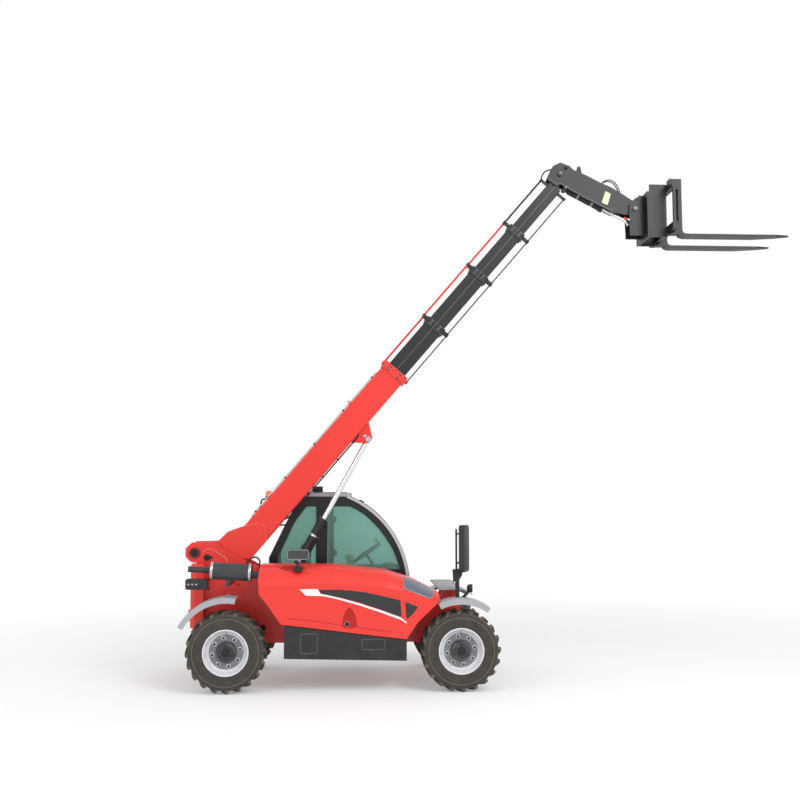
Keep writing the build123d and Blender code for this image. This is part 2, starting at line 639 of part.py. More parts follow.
def make_fender(x, radius, start, end):
    """A curved mudguard over a right wheel, with a lip on its outer edge."""
    outer = make_face(Polyline(*[
        (x + radius * math.cos(math.radians(a)), 0, tyre_radius + radius * math.sin(math.radians(a)))
        for a in arc_angles(start, end)] + [
        (x + (radius - 14) * math.cos(math.radians(a)), 0, tyre_radius + (radius - 14) * math.sin(math.radians(a)))
        for a in reversed(arc_angles(start, end))], close=True))
    lip = make_face(Polyline(*[
        (x + radius * math.cos(math.radians(a)), 0, tyre_radius + radius * math.sin(math.radians(a)))
        for a in arc_angles(start, end)] + [
        (x + (radius - 58) * math.cos(math.radians(a)), 0, tyre_radius + (radius - 58) * math.sin(math.radians(a)))
        for a in reversed(arc_angles(start, end))], close=True))
    return plate(outer, -896, -610) + plate(lip, -900, -888)


def arc_angles(start, end):
    """Evenly spaced angles of an arc, in degrees."""
    count = 10
    return [start + (end - start) * i / count for i in range(count + 1)]


rear_fender = make_fender(0, 557, 80, 152)
rear_fender = rear_fender + box(-60, -20, -640, rail_right, 940, 955) + box(-60, -20, -640, -610, 940, 968)
front_fender = make_fender(wheelbase, 533, 55, 116)
front_fender = front_fender + box(2390, 2440, -640, rail_right, 900, 915) + box(2390, 2440, -640, -610, 900, 940)
left_rear = mirrored(rear_fender) + box(-60, -20, rail_left, 300, 940, 955)
left_front = mirrored(front_fender) + box(2390, 2440, rail_left, 300, 900, 915)
nodes["fenders"] = Compound(children=[rear_fender, left_rear, front_fender, left_front])


# ================================================================ cab
screen_curve = [(1943, 1124), (1836, 1430), (1680, 1667), (1501, 1857), (1262, roof_z - 20)]


def cab_side_face():
    """The cab's side outline above the belt, with the windscreen's curve in front."""
    front = Spline(*[(x, 0, z) for x, z in screen_curve]) if False else Polyline(*[(x, 0, z) for x, z in screen_curve])
    back = Polyline((1262, 0, roof_z - 20), (700, 0, roof_z - 20), (548, 0, 1716), (356, 0, belt_z + 30),
                    (356, 0, belt_z - 20), (1899, 0, belt_z - 20), (1943, 0, 1124))
    return make_face(front.edges() + back.edges())


side_outline = [(1943, 1124), (1836, 1430), (1680, 1667), (1501, 1857), (1262, roof_z - 20), (700, roof_z - 20),
                (548, 1716), (356, 1317), (356, 1124)]
side_inset = [(1850, 1180), (1775, 1400), (1630, 1620), (1462, 1790), (1270, roof_z - 125), (770, roof_z - 125),
              (620, 1700), (450, 1330), (450, 1180)]
lower_outline = [(620, 480), (1790, 480), (1880, 900), (1943, 1124), (356, 1124), (350, 1010), (560, 800)]
lower_inset = [(660, 520), (1760, 520), (1842, 900), (1890, 1124), (400, 1124), (395, 1030), (592, 830)]


def make_cab_frame():
    """Posts and roof rails: the side outline with its windows cut, one on each side, and the cross members."""
    shape = None
    for y0, y1 in ((cab_right, cab_right + cab_skin), (cab_left - cab_skin, cab_left)):
        panel = plate(side_outline, y0, y1) - plate(side_inset, y0 - 1, y1 + 1)
        panel = panel + (plate(side_outline, y0, y1) & box(890, 1010, y0, y1, 1100, 2100))
        shape = panel if shape is None else shape + panel
    shape = shape + box(1180, 1262, cab_right, cab_left, roof_z - 125, roof_z - 20)
    shape = shape + box(720, 790, cab_right, cab_left, roof_z - 110, roof_z - 20)
    shape = shape + box(360, 410, cab_right, cab_left, 1124, 1300)
    shape = shape - plate(door_outline, cab_left - cab_skin - 1, cab_left + 1)
    for z in door_hinges:
        shape = shape + rod_z(door_hinge_x, door_hinge_y, 6, z - 40, z + 40)
        for dz in (-30, 30):
            shape = shape + box(door_hinge_x - 50, door_hinge_x, cab_left - 4, door_hinge_y + 6, z + dz - 9, z + dz + 9)
    return shape


door_hinges = (1180, 1860)
door_outline = [(1010, 540), (1780, 540), (1868, 900), (1900, 1124), (1800, 1410), (1650, 1640), (1480, 1820),
                (1290, 1950), (1010, 1950)]
door_inset = [(1075, 1190), (1845, 1190), (1755, 1400), (1612, 1600), (1450, 1768), (1275, 1885), (1075, 1885)]


def make_cab_tub():
    """The cab's lower body: floor, walls and rear bulkhead, open at the top and at the door."""
    outer = plate(lower_outline, cab_right, cab_left)
    inner = plate([(x, z if z < 1124 else 1130) for x, z in lower_inset], cab_right + cab_skin, cab_left - cab_skin)
    shape = outer - inner + box(800, 1140, 340, 640, 515, 760)
    return shape - plate(door_outline, cab_left - cab_skin - 1, cab_left + 1)


def inset_outline(points, gap):
    """A polygon drawn in by gap on all sides."""
    face = make_face(Polyline(*[(x, 0, z) for x, z in points], close=True))
    return offset(face, amount=-gap, kind=Kind.INTERSECTION)


def make_door():
    """The door's frame, as thick as the cab's side, with its window cut."""
    leaf = plate(inset_outline(door_outline, 6), cab_left - cab_skin, cab_left)
    leaf = leaf - plate(door_inset, cab_left - cab_skin - 1, cab_left + 1)
    handle = box(1700, 1800, cab_left, cab_left + 14, 1120, 1150)
    leaf = leaf + handle
    for z in door_hinges:
        strap = box(door_hinge_x, door_hinge_x + 60, cab_left, door_hinge_y + 6, z - 18, z + 18)
        strap = strap + rod_z(door_hinge_x, door_hinge_y, 12, z - 18, z + 18)
        leaf = leaf + (strap - rod_z(door_hinge_x, door_hinge_y, 6 + running_gap, z - 20, z + 20))
    return leaf


nodes["cab_frame"] = make_cab_frame()
nodes["cab_tub"] = make_cab_tub()
nodes["door"] = make_door()
nodes["door_glass"] = plate(inset_outline(door_inset, 0.2), cab_left - 26, cab_left - 20)
roof = box(680, 1285, cab_right - 10, cab_left + 10, roof_z - 20, roof_z + 22)
nodes["cab_roof"] = fillet(roof.edges().filter_by(Axis.Z), 60)
screen_face = make_face(Polyline(*[(x, 0, z) for x, z in screen_curve + [
    (x + 9, z + 6) for x, z in reversed(screen_curve)]], close=True))
windscreen = plate(screen_face, cab_right + 4, cab_left - 4)
windscreen = windscreen - box(1200, 1300, cab_right, cab_left, roof_z - 20 - running_gap, roof_z + 50)
rear_line = [(366, 1302), (556, 1712), (712, 1995)]
rear_face = make_face(Polyline(*[(x, 0, z) for x, z in rear_line + [(x + 8, z) for x, z in reversed(rear_line)]],
                               close=True))
rear_glass = plate(rear_face, cab_right + cab_skin, cab_left - cab_skin)
rear_side = inset_outline([(450, 1180), (450, 1330), (620, 1700), (770, roof_z - 125), (890, roof_z - 125),
                           (890, 1180)], 0.2)
side_glass_r = plate(inset_outline([(1075, 1180), (1850, 1180), (1775, 1400), (1630, 1620), (1462, 1790),
                                    (1270, roof_z - 125), (1010, roof_z - 125), (1010, 1180)], 0.2),
                     cab_right + 20, cab_right + 26)
quarter_panes = [plate(rear_side, y, y + glass) for y in (cab_right + 20, cab_left - 26)]
nodes["cab_glass"] = Compound(children=[windscreen, rear_glass, side_glass_r] + quarter_panes)
nodes["seat"] = box(760, 1230, 260, 720, 760, 880) + box(700, 800, 260, 720, 880, 1480)
nodes["dashboard"] = plate([(1560, 520), (1750, 520), (1820, 900), (1850, 1120), (1640, 1180), (1560, 900)],
                           250, 720)
wheel_tilt = Pos(1450, 485, 1340) * Rot(0, -34, 0)
column = Pos(0, 0, -155) * Cylinder(18, 290)
steering_wheel = Torus(185, 14) + Cylinder(30, 30) + column
steering_wheel = steering_wheel + Box(370, 24, 12) + Box(24, 370, 12)
nodes["steering_wheel"] = wheel_tilt * steering_wheel
column_bore = Pos(0, 0, -155) * Cylinder(18 + running_gap, 290)
nodes["dashboard"] = nodes["dashboard"] - wheel_tilt * column_bore


# ================================================================ bonnet
def bonnet_ring(x, top, crease, outer, wall=0):
    """One cross-section of the bonnet at x, crowned from its shoulder to its flat top; low and inner sides open."""
    low = 500 - wall
    inner = bonnet_inner + (40 if wall else 0)
    shoulder = (x, outer + wall, crease)
    ridge = (x, -560, top - wall)
    middle = (x, outer + wall + 88, top - wall - (top - crease) * 0.30)
    return [
        Polyline((x, inner, top - wall), ridge),
        ThreePointArc(ridge, middle, shoulder),
        Polyline(shoulder, (x, outer + wall, low), (x, inner, low), (x, inner, top - wall)),
    ]


bonnet_table = [            # x, top, crease, outer face
    (310, 1285, 1095, -872),
    (1100, 1280, 1108, -880),
    (1650, 1220, 1070, -878),
    (1950, 1120, 1000, -868),
    (2210, 985, 900, -840),
]
bonnet_side = [(300, 1400), (327, 1303), (317, 1163), (331, 1000), (426, 883), (557, 697), (1854, 537),
               (1973, 711), (2164, 885), (2204, 925), (2204, 1400)]


def loft_rings(rings):
    """A ruled loft through closed rings of lines and arcs."""
    faces = []
    for ring in rings:
        edges = []
        for curve in ring:
            edges += curve.edges()
        faces.append(make_face(edges))
    return loft(faces, ruled=True)


def make_bonnet():
    """A thin cowl over the engine, open below, at the rear and towards the boom."""
    outer = loft_rings([bonnet_ring(*row) for row in bonnet_table])
    hollow_rows = [list(row) for row in bonnet_table]
    hollow_rows[0][0] -= 5
    hollow_rows[-1][0] -= bonnet_wall
    hollow = loft_rings([bonnet_ring(*row, wall=bonnet_wall) for row in hollow_rows])
    skin = (outer - hollow) & plate(bonnet_side, -900, -300)
    for x in hood_hinges:
        strap = box(x - 16, x + 16, -360, bonnet_hinge_y, 1262, 1285 - bonnet_wall + 2)
        strap = strap + rod_x(bonnet_hinge_y, bonnet_hinge_z, 12, x - 16, x + 16)
        strap = strap + box(x - 16, x + 16, bonnet_hinge_y - 12, bonnet_hinge_y, bonnet_hinge_z, 1270)
        skin = skin + (strap - rod_x(bonnet_hinge_y, bonnet_hinge_z, 6 + running_gap, x - 20, x + 20))
    return skin


nodes["bonnet"] = make_bonnet()

# ================================================================ write the parts
rear_end = pivot_x - boss_radius
front_end = fork_tip_x
origin_x = (rear_end + front_end) / 2

os.makedirs("parts", exist_ok=True)
for name, shape in nodes.items():
    export_step(Pos(-origin_x, 0, 0) * shape, f"parts/{name}.step")
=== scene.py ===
import json
import math

import bmesh
import bpy
import numpy as np
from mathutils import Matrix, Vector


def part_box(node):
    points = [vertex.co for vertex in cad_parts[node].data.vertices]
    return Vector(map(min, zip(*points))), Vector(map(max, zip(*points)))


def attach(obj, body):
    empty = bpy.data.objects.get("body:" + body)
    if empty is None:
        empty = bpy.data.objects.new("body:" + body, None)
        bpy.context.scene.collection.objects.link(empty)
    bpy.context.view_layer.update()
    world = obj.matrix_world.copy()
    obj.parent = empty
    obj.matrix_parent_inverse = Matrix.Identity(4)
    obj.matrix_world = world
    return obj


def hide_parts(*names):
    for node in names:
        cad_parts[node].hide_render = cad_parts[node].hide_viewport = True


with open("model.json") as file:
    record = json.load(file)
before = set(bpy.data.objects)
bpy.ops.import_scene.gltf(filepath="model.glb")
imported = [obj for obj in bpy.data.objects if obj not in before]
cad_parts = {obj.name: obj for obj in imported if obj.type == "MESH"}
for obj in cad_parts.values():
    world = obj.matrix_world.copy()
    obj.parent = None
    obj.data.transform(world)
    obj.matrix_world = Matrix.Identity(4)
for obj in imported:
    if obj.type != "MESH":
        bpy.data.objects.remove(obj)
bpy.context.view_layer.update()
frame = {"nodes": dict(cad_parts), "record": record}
nodes = frame["nodes"]
record = frame["record"]
joints = {joint["name"]: joint for joint in record["behaviour"]["joints"]}
print("frame loaded:", len(nodes), "nodes")

wheelMiddle = {}
for corner in ("rear_right", "rear_left", "front_right", "front_left"):
    low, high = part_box("rim_" + corner)
    wheelMiddle[corner] = (np.array(low) + np.array(high)) / 2
rearAxle = wheelMiddle["rear_right"][0]
boomPivot = np.array(joints["boom_lift"]["pos_m"], float)
boomWay = np.array(joints["boom_extend"]["axis"], float)
boomUp = np.array([-boomWay[2], 0.0, boomWay[0]])
tubeDrop = -0.355  # metres from the boom's pivot to the tubes' middle line, square to the boom
upwards, forwards = (0.0, 0.0, 1.0), (1.0, 0.0, 0.0)
leftwards, rightwards = (0.0, 1.0, 0.0), (0.0, -1.0, 0.0)
bothSides = (("right", -1), ("left", 1))


# places are written in millimetres, as on a works drawing, and these functions turn them to metres

def spot(x, y, z):
    # x ahead of the rear axle, y to the left and z up, each one number or an array
    return np.stack(np.broadcast_arrays(rearAxle + x / 1000, y / 1000, z / 1000), axis=-1)


def sideWall(x, z, y):
    # the same with y last, for outlines drawn in the side view
    return spot(x, y, z)


def rearWall(y, z, x):
    # the same with x last, for outlines drawn in the rear view
    return spot(x, y, z)


def boomWall(along, up, across):
    # along the boom from its pivot, up from the tubes' middle line, across from the boom's middle plane
    place = boomPivot + np.multiply.outer(along / 1000, boomWay)
    place = place + np.multiply.outer(tubeDrop + up / 1000, boomUp)
    place[..., 1] += across / 1000
    return place


def boomPoint(along, up, across):
    # boomWall for a single place
    return boomWall(np.array(float(along)), np.array(float(up)), np.array(float(across)))


# materials

def newMaterial(name):
    # a material with its node tree and its main shader
    material = bpy.data.materials.new(name)
    material.use_nodes = True
    return material, material.node_tree, material.node_tree.nodes["Principled BSDF"]


def objectPlace(tree):
    # the place on the piece, in the frame that its mesh is written in
    return tree.nodes.new("ShaderNodeTexCoord").outputs["Object"]


def objectNoise(tree, scale, detail=3.0, stretch=(1.0, 1.0, 1.0)):
    # noise on Object coordinates, so a pattern stays on its piece when that moves
    mapping = tree.nodes.new("ShaderNodeMapping")
    mapping.inputs["Scale"].default_value = stretch
    noise = tree.nodes.new("ShaderNodeTexNoise")
    noise.inputs["Scale"].default_value = scale
    noise.inputs["Detail"].default_value = detail
    tree.links.new(objectPlace(tree), mapping.inputs["Vector"])
    tree.links.new(mapping.outputs["Vector"], noise.inputs["Vector"])
    return noise.outputs["Fac"]


def ramp(tree, value, stops, sharp=False):
    # colours at places from 0 to 1 along a value
    node = tree.nodes.new("ShaderNodeValToRGB")
    node.color_ramp.interpolation = "CONSTANT" if sharp else "LINEAR"
    elements = node.color_ramp.elements
    while len(elements) < len(stops):
        elements.new(0.5)
    for element, (place, colour) in zip(elements, stops):
        element.position = place
        element.color = (*colour, 1.0)
    tree.links.new(value, node.inputs["Fac"])
    return node.outputs["Color"]


def spread(tree, value, low, high, fromLow=0.3, fromHigh=0.7):
    # a value between two numbers stretched between two others
    node = tree.nodes.new("ShaderNodeMapRange")
    node.inputs["From Min"].default_value = fromLow
    node.inputs["From Max"].default_value = fromHigh
    node.inputs["To Min"].default_value = low
    node.inputs["To Max"].default_value = high
    tree.links.new(value, node.inputs["Value"])
    return node.outputs["Result"]


def calculate(tree, operation, first, second=None, number=None):
    # one step of arithmetic on one value, with a second value or a plain number
    node = tree.nodes.new("ShaderNodeMath")
    node.operation = operation
    tree.links.new(first, node.inputs[0])
    if second is not None:
        tree.links.new(second, node.inputs[1])
    if number is not None:
        node.inputs[1].default_value = number
    return node.outputs["Value"]


def vectorStep(tree, operation, first, constant):
    # one step of vector arithmetic with a fixed vector, or with none
    node = tree.nodes.new("ShaderNodeVectorMath")
    node.operation = operation
    tree.links.new(first, node.inputs[0])
    if constant is not None:
        node.inputs[1].default_value = tuple(constant)
    return node


def lineDistance(tree, point, way):
    # how far a place is from the line through point along way: the length of the cross product
    arm = vectorStep(tree, "SUBTRACT", objectPlace(tree), point).outputs["Vector"]
    crossed = vectorStep(tree, "CROSS_PRODUCT", arm, way).outputs["Vector"]
    return vectorStep(tree, "LENGTH", crossed, None).outputs["Value"]


def planeDistance(tree, point, normal):
    # how far a place is in front of a plane: its offset times the plane's normal
    arm = vectorStep(tree, "SUBTRACT", objectPlace(tree), point).outputs["Vector"]
    return vectorStep(tree, "DOT_PRODUCT", arm, normal).outputs["Value"]


def blendColours(tree, factor, first, second):
    # the first colour where the factor is 0 and the second where it is 1; either may come from a node
    node = tree.nodes.new("ShaderNodeMix")
    node.data_type = "RGBA"
    tree.links.new(factor, node.inputs["Factor"])
    for socket, colour in (("A", first), ("B", second)):
        target = [entry for entry in node.inputs if entry.name == socket and entry.type == "RGBA"][0]
        if isinstance(colour, tuple):
            target.default_value = (*colour, 1.0)
        else:
            tree.links.new(colour, target)
    return [entry for entry in node.outputs if entry.type == "RGBA"][0]


def bump(tree, shader, value, strength, distance):
    # tilts the shading by the slope of a value
    node = tree.nodes.new("ShaderNodeBump")
    node.inputs["Strength"].default_value = strength
    node.inputs["Distance"].default_value = distance
    tree.links.new(value, node.inputs["Height"])
    tree.links.new(node.outputs["Normal"], shader.inputs["Normal"])


def shadeOf(colour, factor):
    # every channel times the factor, up to 1
    return tuple(min(1.0, channel * factor) for channel in colour)


def twoTone(tree, look):
    # a slightly darker and a slightly lighter tone, mixed by slow noise
    tone = objectNoise(tree, look.get("toneScale", 3.0), 4.0)
    return ramp(tree, tone, [(0.3, shadeOf(look["colour"], look.get("dark", 0.93))),
                             (0.7, shadeOf(look["colour"], look.get("light", 1.05)))])


def finishShader(tree, shader, look, colour):
    # roughness that wanders, a fine or coarse grain, and the look's plain numbers on the shader itself
    tree.links.new(colour, shader.inputs["Base Color"])
    grain = objectNoise(tree, look.get("grainScale", 220.0), 2.0, look.get("grainStretch", (1.0, 1.0, 1.0)))
    rough = spread(tree, grain, look["rough"] * 0.88, min(1.0, look["rough"] * 1.12))
    tree.links.new(rough, shader.inputs["Roughness"])
    bump(tree, shader, grain, look.get("grain", 0.15), look.get("grainDepth", 0.0006))
    shader.inputs["Metallic"].default_value = look.get("metal", 0.0)
    shader.inputs["Coat Weight"].default_value = look.get("coat", 0.0)
    shader.inputs["Coat Roughness"].default_value = look.get("coatRough", 0.08)
    shader.inputs["Specular IOR Level"].default_value = look.get("specular", 0.5)


dust = {"colour": (0.30, 0.26, 0.21), "scale": 9.0, "upTo": 0.9}  # it fades out over this height in metres


def finish(name, look):
    # one finish from its look: two tones of a colour, and where it has any, dust that gathers low down
    material, tree, shader = newMaterial(name)
    colour = twoTone(tree, look)
    if look.get("dust", 0.0) > 0.0:
        height = planeDistance(tree, (0.0, 0.0, 0.0), upwards)
        lowDown = spread(tree, height, look["dust"], 0.0, 0.1, dust["upTo"])
        patches = spread(tree, objectNoise(tree, dust["scale"], 6.0), 0.0, 1.0, 0.45, 0.65)
        colour = blendColours(tree, calculate(tree, "MULTIPLY", lowDown, patches), colour, dust["colour"])
    finishShader(tree, shader, look, colour)
    return material


looks = {
    "red": {"colour": (0.72, 0.030, 0.021), "rough": 0.42, "coat": 0.18, "toneScale": 1.2, "dark": 0.94,
            "light": 1.03, "grainScale": 420.0, "grain": 0.05, "specular": 0.4, "dust": 0.10},
    "redPlastic": {"colour": (0.76, 0.034, 0.024), "rough": 0.40, "coat": 0.2, "toneScale": 1.0,
                   "dark": 0.95,
                   "light": 1.03, "grainScale": 600.0, "grain": 0.04, "specular": 0.4, "dust": 0.06},
    "charcoal": {"colour": (0.022, 0.022, 0.025), "rough": 0.48, "coat": 0.05, "toneScale": 2.0,
                 "grainScale": 300.0, "grain": 0.08, "specular": 0.35},
    "blackSteel": {"colour": (0.010, 0.011, 0.013), "rough": 0.45, "coat": 0.05, "grainScale": 260.0,
                   "grain": 0.1, "specular": 0.35},
    "blackPaint": {"colour": (0.008, 0.009, 0.011), "rough": 0.38, "coat": 0.1, "grainScale": 400.0,
                   "grain": 0.05, "specular": 0.35},
    "castIron": {"colour": (0.018, 0.018, 0.020), "rough": 0.62, "grainScale": 160.0, "grain": 0.5,
                 "grainDepth": 0.001, "dust": 0.2},
    "chrome": {"colour": (0.80, 0.81, 0.83), "rough": 0.12, "metal": 1.0, "dark": 0.97, "light": 1.0,
               "grainScale": 500.0, "grainStretch": (1.0, 1.0, 12.0), "grain": 0.02},
    "steel": {"colour": (0.52, 0.53, 0.55), "rough": 0.32, "metal": 1.0, "grainScale": 320.0, "grain": 0.1},
    "rim": {"colour": (0.62, 0.63, 0.66), "rough": 0.42, "coat": 0.15, "grainScale": 300.0, "grain": 0.08},
    "blackPlastic": {"colour": (0.016, 0.017, 0.018), "rough": 0.55, "grainScale": 350.0, "grain": 0.3,
                     "specular": 0.4, "dust": 0.05},
    "greyPlastic": {"colour": (0.36, 0.37, 0.40), "rough": 0.48, "grainScale": 350.0, "grain": 0.15,
                    "dust": 0.05},
    "silencer": {"colour": (0.030, 0.031, 0.035), "rough": 0.45, "toneScale": 9.0, "dark": 0.8,
                 "light": 1.3,
                 "grainScale": 150.0, "grain": 0.2},
    "pad": {"colour": (0.75, 0.73, 0.66), "rough": 0.6, "grainScale": 200.0, "grain": 0.2},
    "white": {"colour": (0.86, 0.86, 0.87), "rough": 0.4, "grainScale": 500.0, "grain": 0.04},
    "paleYellow": {"colour": (0.78, 0.78, 0.42), "rough": 0.45, "grainScale": 500.0, "grain": 0.04},
    "orangeLens": {"colour": (0.95, 0.22, 0.01), "rough": 0.18, "coat": 0.6, "grainScale": 240.0,
                   "grain": 0.3},
    "redLens": {"colour": (0.55, 0.015, 0.012), "rough": 0.16, "coat": 0.6, "grainScale": 240.0,
                "grain": 0.4},
    "clearLens": {"colour": (0.72, 0.75, 0.78), "rough": 0.10, "metal": 0.6, "coat": 0.8,
                  "grainScale": 200.0,
                  "grain": 0.5},
    "mirrorGlass": {"colour": (0.75, 0.78, 0.80), "rough": 0.04, "metal": 1.0, "dark": 0.98, "light": 1.0,
                    "grainScale": 60.0, "grain": 0.01},
    # deep red: painted shade in the bonnet's lock pocket, along its crease and in the hood's pocket, and the
    # colour of the tower's bolts and the pivot rings
    "redDeep": {"colour": (0.42, 0.012, 0.010), "rough": 0.45, "grainScale": 420.0, "grain": 0.05,
                "specular": 0.3},
    # pale red, painted as the highlight along welded edges on the tower and the boom's root
    "paleRedHighlight": {"colour": (0.78, 0.20, 0.17), "rough": 0.5, "grainScale": 240.0, "grain": 0.3},
    "darkGloss": {"colour": (0.010, 0.012, 0.016), "rough": 0.10, "coat": 0.9, "grainScale": 300.0,
                  "grain": 0.02},
    "grille": {"colour": (0.030, 0.033, 0.037), "rough": 0.5, "grainScale": 300.0, "grain": 0.2,
               "specular": 0.4},
    "ventGrey": {"colour": (0.10, 0.12, 0.15), "rough": 0.22, "coat": 0.5, "grainScale": 300.0,
                 "grain": 0.05},
    "pinGrey": {"colour": (0.10, 0.10, 0.11), "rough": 0.35, "metal": 0.6, "grainScale": 320.0,
                "grain": 0.1},
    "outlineGrey": {"colour": (0.11, 0.13, 0.115), "rough": 0.5, "grainScale": 300.0, "grain": 0.1},
    # grey for the collars' edges, also painted as the highlight along the head's under edge
    "collarGrey": {"colour": (0.12, 0.12, 0.13), "rough": 0.45, "grainScale": 300.0, "grain": 0.1},
    "tyreBeige": {"colour": (0.19, 0.155, 0.11), "rough": 0.8, "grainScale": 200.0, "grain": 0.3},
    "tyreDark": {"colour": (0.055, 0.050, 0.044), "rough": 0.8, "grainScale": 200.0, "grain": 0.3},
    "trimSilver": {"colour": (0.50, 0.50, 0.52), "rough": 0.35, "coat": 0.2, "grainScale": 400.0,
                   "grain": 0.05},
    "yellowGrip": {"colour": (0.75, 0.55, 0.06), "rough": 0.45, "grainScale": 400.0, "grain": 0.2},
    "seatCloth": {"colour": (0.025, 0.027, 0.031), "rough": 0.9, "grainScale": 900.0, "grain": 0.6},
    "softGrey": {"colour": (0.27, 0.28, 0.30), "rough": 0.5, "grainScale": 350.0, "grain": 0.1},
    "hoseRubber": {"colour": (0.012, 0.012, 0.013), "rough": 0.6, "grainScale": 500.0, "grain": 0.3},
}
finishes = {name: finish(name, look) for name, look in looks.items()}


def tintedGlass(name, colour, rough=0.02):
    # clear enough to look into the cab, with the tint on the surface colour
    material, tree, shader = newMaterial(name)
    tone = objectNoise(tree, 1.5)
    tree.links.new(ramp(tree, tone, [(0.3, shadeOf(colour, 0.94)), (0.7, colour)]),
                   shader.inputs["Base Color"])
    shader.inputs["Roughness"].default_value = rough
    shader.inputs["Transmission Weight"].default_value = 0.78
    shader.inputs["IOR"].default_value = 1.1
    return material


finishes["cabGlass"] = tintedGlass("cabGlass", (0.42, 0.66, 0.60))

rimLook = {"edge": (0.70, 0.71, 0.74), "disc": (0.17, 0.18, 0.20), "cap": (0.030, 0.034, 0.042),
           "capReach": 0.109, "discReach": 0.176, "full": 0.25, "rough": 0.40, "coat": 0.15, "grain": 0.08,
           "grainScale": 300.0, "dirt": (0.30, 0.27, 0.23), "dirtScale": 14.0, "dirtMost": 0.35}


def wheelRimMaterial(corner):
    # silver rim, grey disc and dark hub cover, told apart by the distance from the wheel's axis
    material, tree, shader = newMaterial("rim_" + corner)
    far = calculate(tree, "DIVIDE", lineDistance(tree, wheelMiddle[corner], leftwards),
                    number=rimLook["full"])
    discFrom, edgeFrom = rimLook["capReach"] / rimLook["full"], rimLook["discReach"] / rimLook["full"]
    bands = ramp(tree, far, [(0.0, rimLook["cap"]), (discFrom, rimLook["disc"]),
                             (edgeFrom, rimLook["edge"])], sharp=True)
    dirt = spread(tree, objectNoise(tree, rimLook["dirtScale"], 6.0), 0.0, rimLook["dirtMost"], 0.45, 0.75)
    finishShader(tree, shader, rimLook, blendColours(tree, dirt, bands, rimLook["dirt"]))
    return material


rubberLook = {"side": (0.050, 0.045, 0.040), "tread": (0.085, 0.075, 0.064), "dust": (0.20, 0.17, 0.135),
              "treadStart": 0.372, "rough": 0.82, "grain": 0.45, "grainScale": 180.0, "grainDepth": 0.0008,
              "specular": 0.25, "ribStart": 0.262, "ribEnd": 0.350, "ribPitch": 0.0105}


def tyreMaterial(corner):
    # dusty rubber, paler on the lugs, with fine ribs moulded round the side wall
    material, tree, shader = newMaterial("tyre_" + corner)
    far = lineDistance(tree, wheelMiddle[corner], leftwards)
    outward = spread(tree, far, 0.0, 1.0, rubberLook["treadStart"] - 0.006,
                     rubberLook["treadStart"] + 0.014)
    base = blendColours(tree, outward, rubberLook["side"], rubberLook["tread"])
    patches = spread(tree, objectNoise(tree, 16.0, 7.0), 0.0, 0.55, 0.45, 0.72)
    dusty = calculate(tree, "MULTIPLY", patches, spread(tree, outward, 0.25, 1.0))
    colour = blendColours(tree, dusty, base, rubberLook["dust"])
    tree.links.new(colour, shader.inputs["Base Color"])
    shader.inputs["Roughness"].default_value = rubberLook["rough"]
    shader.inputs["Specular IOR Level"].default_value = rubberLook["specular"]
    wave = calculate(tree, "SINE", calculate(tree, "MULTIPLY", far,
                                             number=2 * math.pi / rubberLook["ribPitch"]))
    inside = calculate(tree, "LESS_THAN", far, number=rubberLook["ribEnd"])
    ribs = calculate(tree, "MULTIPLY", wave, calculate(tree, "MULTIPLY", inside, calculate(
        tree, "GREATER_THAN", far, number=rubberLook["ribStart"])))
    grain = objectNoise(tree, rubberLook["grainScale"], 3.0)
    height = calculate(tree, "ADD", calculate(tree, "MULTIPLY", ribs, number=0.5), grain)
    bump(tree, shader, height, 0.5, 0.0022)
    return material


# the seam colour is a painted highlight along the weld seam in the middle of each side
sectionLook = {"colour": (0.013, 0.013, 0.015), "seam": (0.16, 0.16, 0.17), "rod": (0.70, 0.030, 0.022),
               "rodReach": 0.0116, "seamHighlightHalf": 0.0022, "rough": 0.48, "coat": 0.05, "grain": 0.08,
               "grainScale": 300.0, "toneScale": 2.0, "specular": 0.35}
# where each section's top guide tube lies across the boom, and whether it is painted red
guideTubes = {"boom_section_2": (54, True), "boom_section_3": (-54, True), "boom_section_4": (18, True),
              "boom_section_5": (-18, False)}
guideRise = 172.0


def sectionMaterial(node):
    # charcoal paint with a pale line painted along the weld seam in the middle of the sides as its
    # highlight, and a red guide tube on top
    across, painted = guideTubes[node]
    material, tree, shader = newMaterial("paint_" + node)
    colour = twoTone(tree, sectionLook)
    # a pale band painted along the weld seam as its highlight
    rise = planeDistance(tree, boomPoint(0, 0, 0), boomUp)
    seam = calculate(tree, "LESS_THAN", calculate(tree, "ABSOLUTE", rise), number=sectionLook["seamHighlightHalf"])
    colour = blendColours(tree, seam, colour, sectionLook["seam"])
    if painted:
        near = lineDistance(tree, boomPoint(0, guideRise, across), boomWay)
        onTube = calculate(tree, "LESS_THAN", near, number=sectionLook["rodReach"])
        colour = blendColours(tree, onTube, colour, sectionLook["rod"])
    finishShader(tree, shader, sectionLook, colour)
    return material


